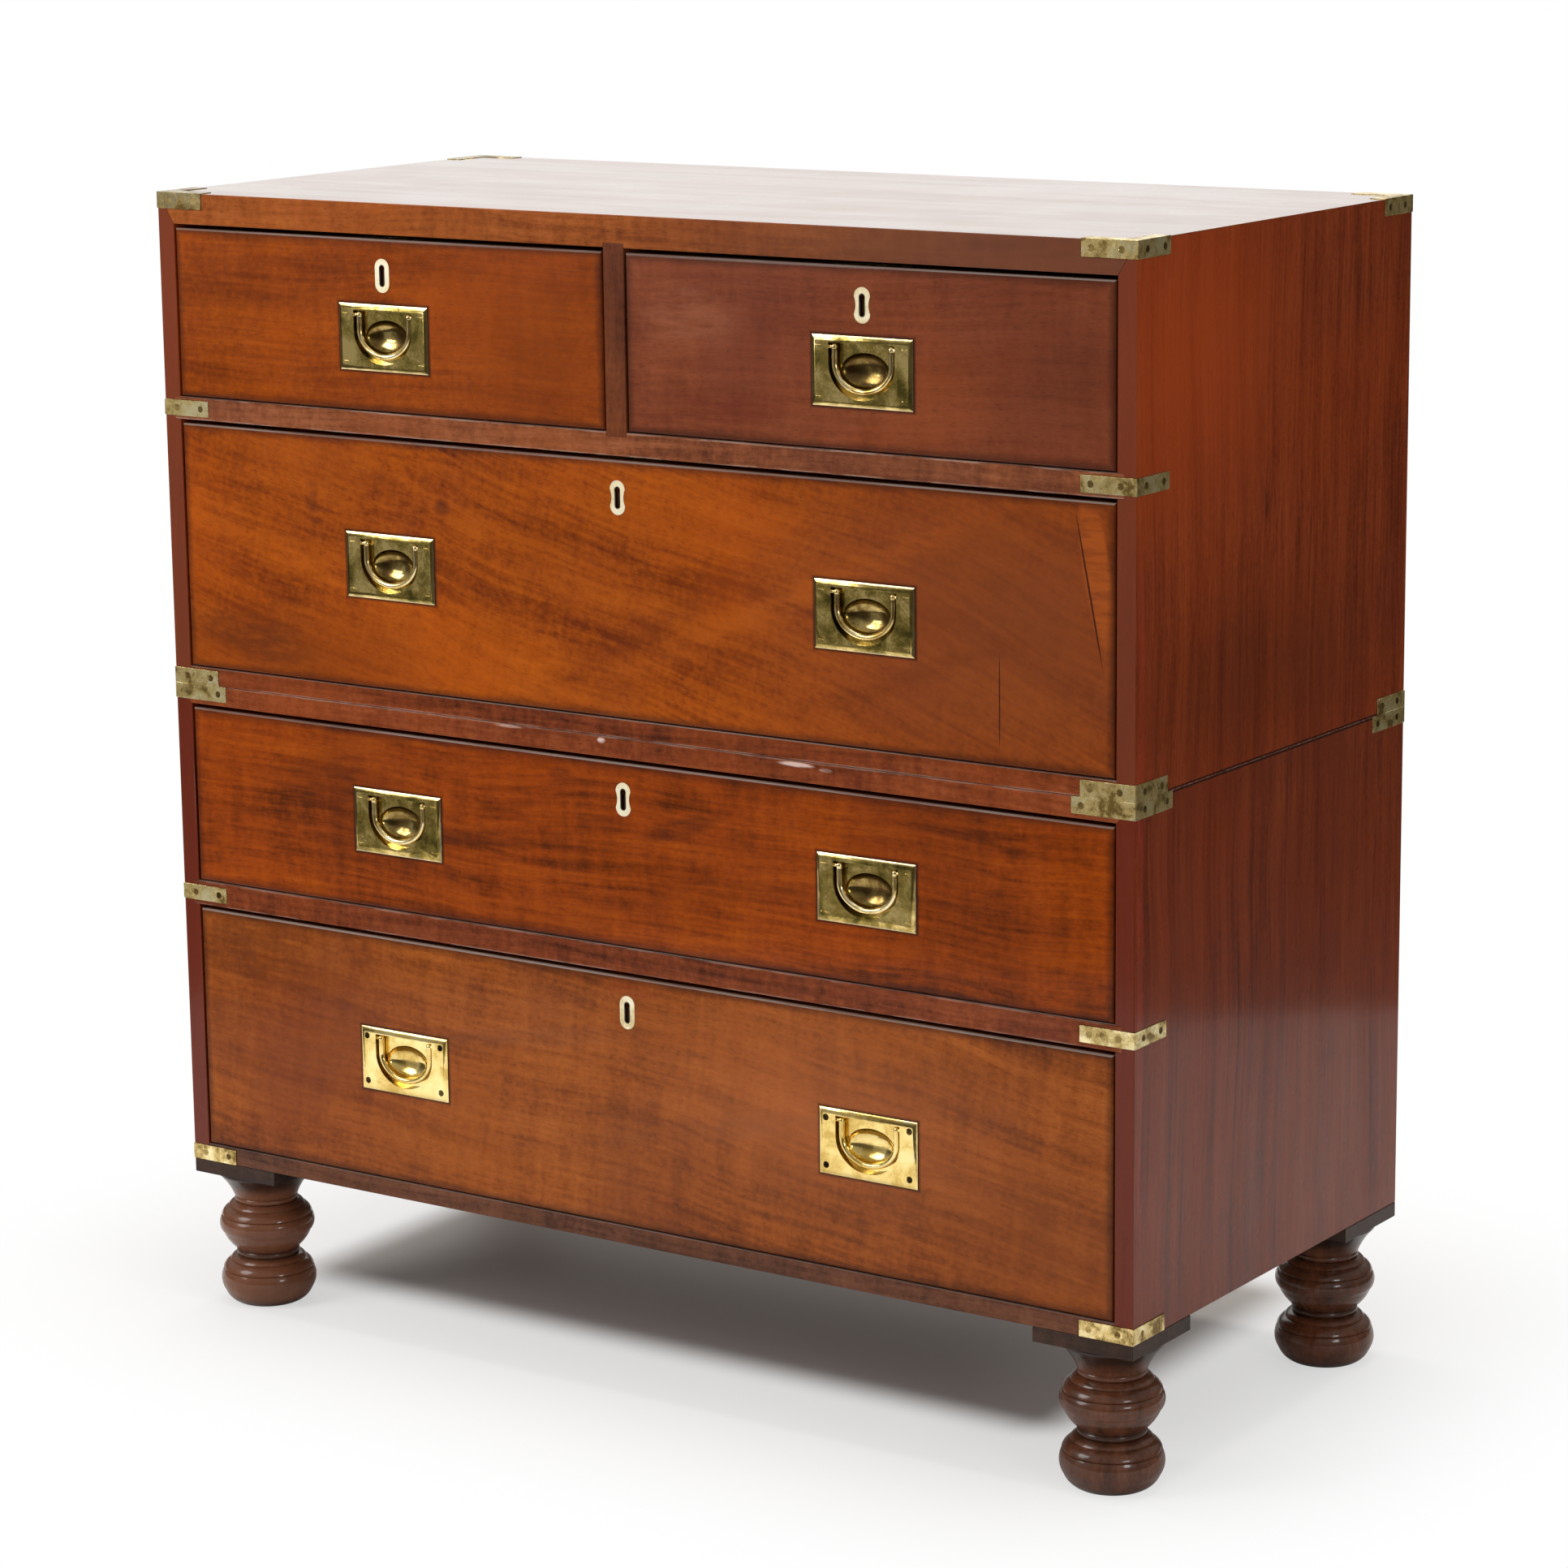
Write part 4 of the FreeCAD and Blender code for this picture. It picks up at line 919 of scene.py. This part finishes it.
def makeWorld():
    # the camera sees white, polished faces see a dim room under a paler ceiling, all else gets even soft light
    world = bpy.data.worlds.new("studio")
    scene.world = world
    world.use_nodes = True
    tree = world.node_tree
    tree.nodes.clear()
    paths = tree.nodes.new("ShaderNodeLightPath")
    where = tree.nodes.new("ShaderNodeTexCoord")
    split = tree.nodes.new("ShaderNodeSeparateXYZ")
    rise = tree.nodes.new("ShaderNodeMapRange")
    rise.inputs["From Min"].default_value, rise.inputs["From Max"].default_value = stageLook["ceilingFrom"]
    tree.links.new(where.outputs["Generated"], split.inputs[0])
    tree.links.new(split.outputs["Z"], rise.inputs["Value"])
    white = (1.0, 1.0, 1.0, 1.0)
    shades = []
    for colour, strength in ((white, stageLook["ambient"]), (shown(*stageLook["roomColour"]), 1.0),
                             (shown(*stageLook["ceilingColour"]), 1.0), (white, 1.0)):
        shade = tree.nodes.new("ShaderNodeBackground")
        shade.inputs["Color"].default_value = colour
        shade.inputs["Strength"].default_value = strength
        shades.append(shade.outputs[0])
    even, room, ceiling, plain = shades

    def blend(amount, first, second):
        both = tree.nodes.new("ShaderNodeMixShader")
        for i, link in enumerate((amount, first, second)):
            tree.links.new(link, both.inputs[i])
        return both.outputs[0]

    around = blend(rise.outputs["Result"], room, ceiling)
    result = blend(paths.outputs["Is Glossy Ray"], even, around)
    result = blend(paths.outputs["Is Camera Ray"], result, plain)
    output = tree.nodes.new("ShaderNodeOutputWorld")
    tree.links.new(result, output.inputs[0])


def makeLamps():
    # each lamp is a soft rectangle turned towards its aim
    for name, look in stageLook["lamps"].items():
        lamp = bpy.data.lights.new(name, "AREA")
        lamp.shape = "RECTANGLE"
        lamp.size, lamp.size_y = look["size"]
        lamp.energy = look["power"]
        holder = bpy.data.objects.new(name, lamp)
        scene.collection.objects.link(holder)
        holder.location = look["at"]
        holder.rotation_euler = (Vector(look["to"]) - Vector(look["at"])).to_track_quat("-Z", "Y").to_euler()
        holder.visible_camera = False


cameraLook = {"eye": (2.25381, -3.28508, 1.35219), "azimuth": 34.371, "elevation": 12.064, "roll": -0.665,
              "lens": 106.1, "sensor": 36.0}


def makeCamera():
    # it looks against back = (sin az cos el, -cos az cos el, sin el), and then rolls a little
    camera = bpy.data.cameras.new("camera")
    camera.lens = cameraLook["lens"]
    camera.sensor_width = cameraLook["sensor"]
    holder = bpy.data.objects.new("camera", camera)
    scene.collection.objects.link(holder)
    azimuth, elevation = math.radians(cameraLook["azimuth"]), math.radians(cameraLook["elevation"])
    back = Vector((math.sin(azimuth) * math.cos(elevation), -math.cos(azimuth) * math.cos(elevation),
                   math.sin(elevation)))
    holder.rotation_mode = "QUATERNION"
    level = back.to_track_quat("Z", "Y")
    holder.rotation_quaternion = level @ Quaternion((0, 0, 1), math.radians(cameraLook["roll"]))
    holder.location = cameraLook["eye"]
    scene.camera = holder


makeFloor()
makeWorld()
makeLamps()
makeCamera()
scene.view_settings.view_transform = "Standard"
print("stage set")
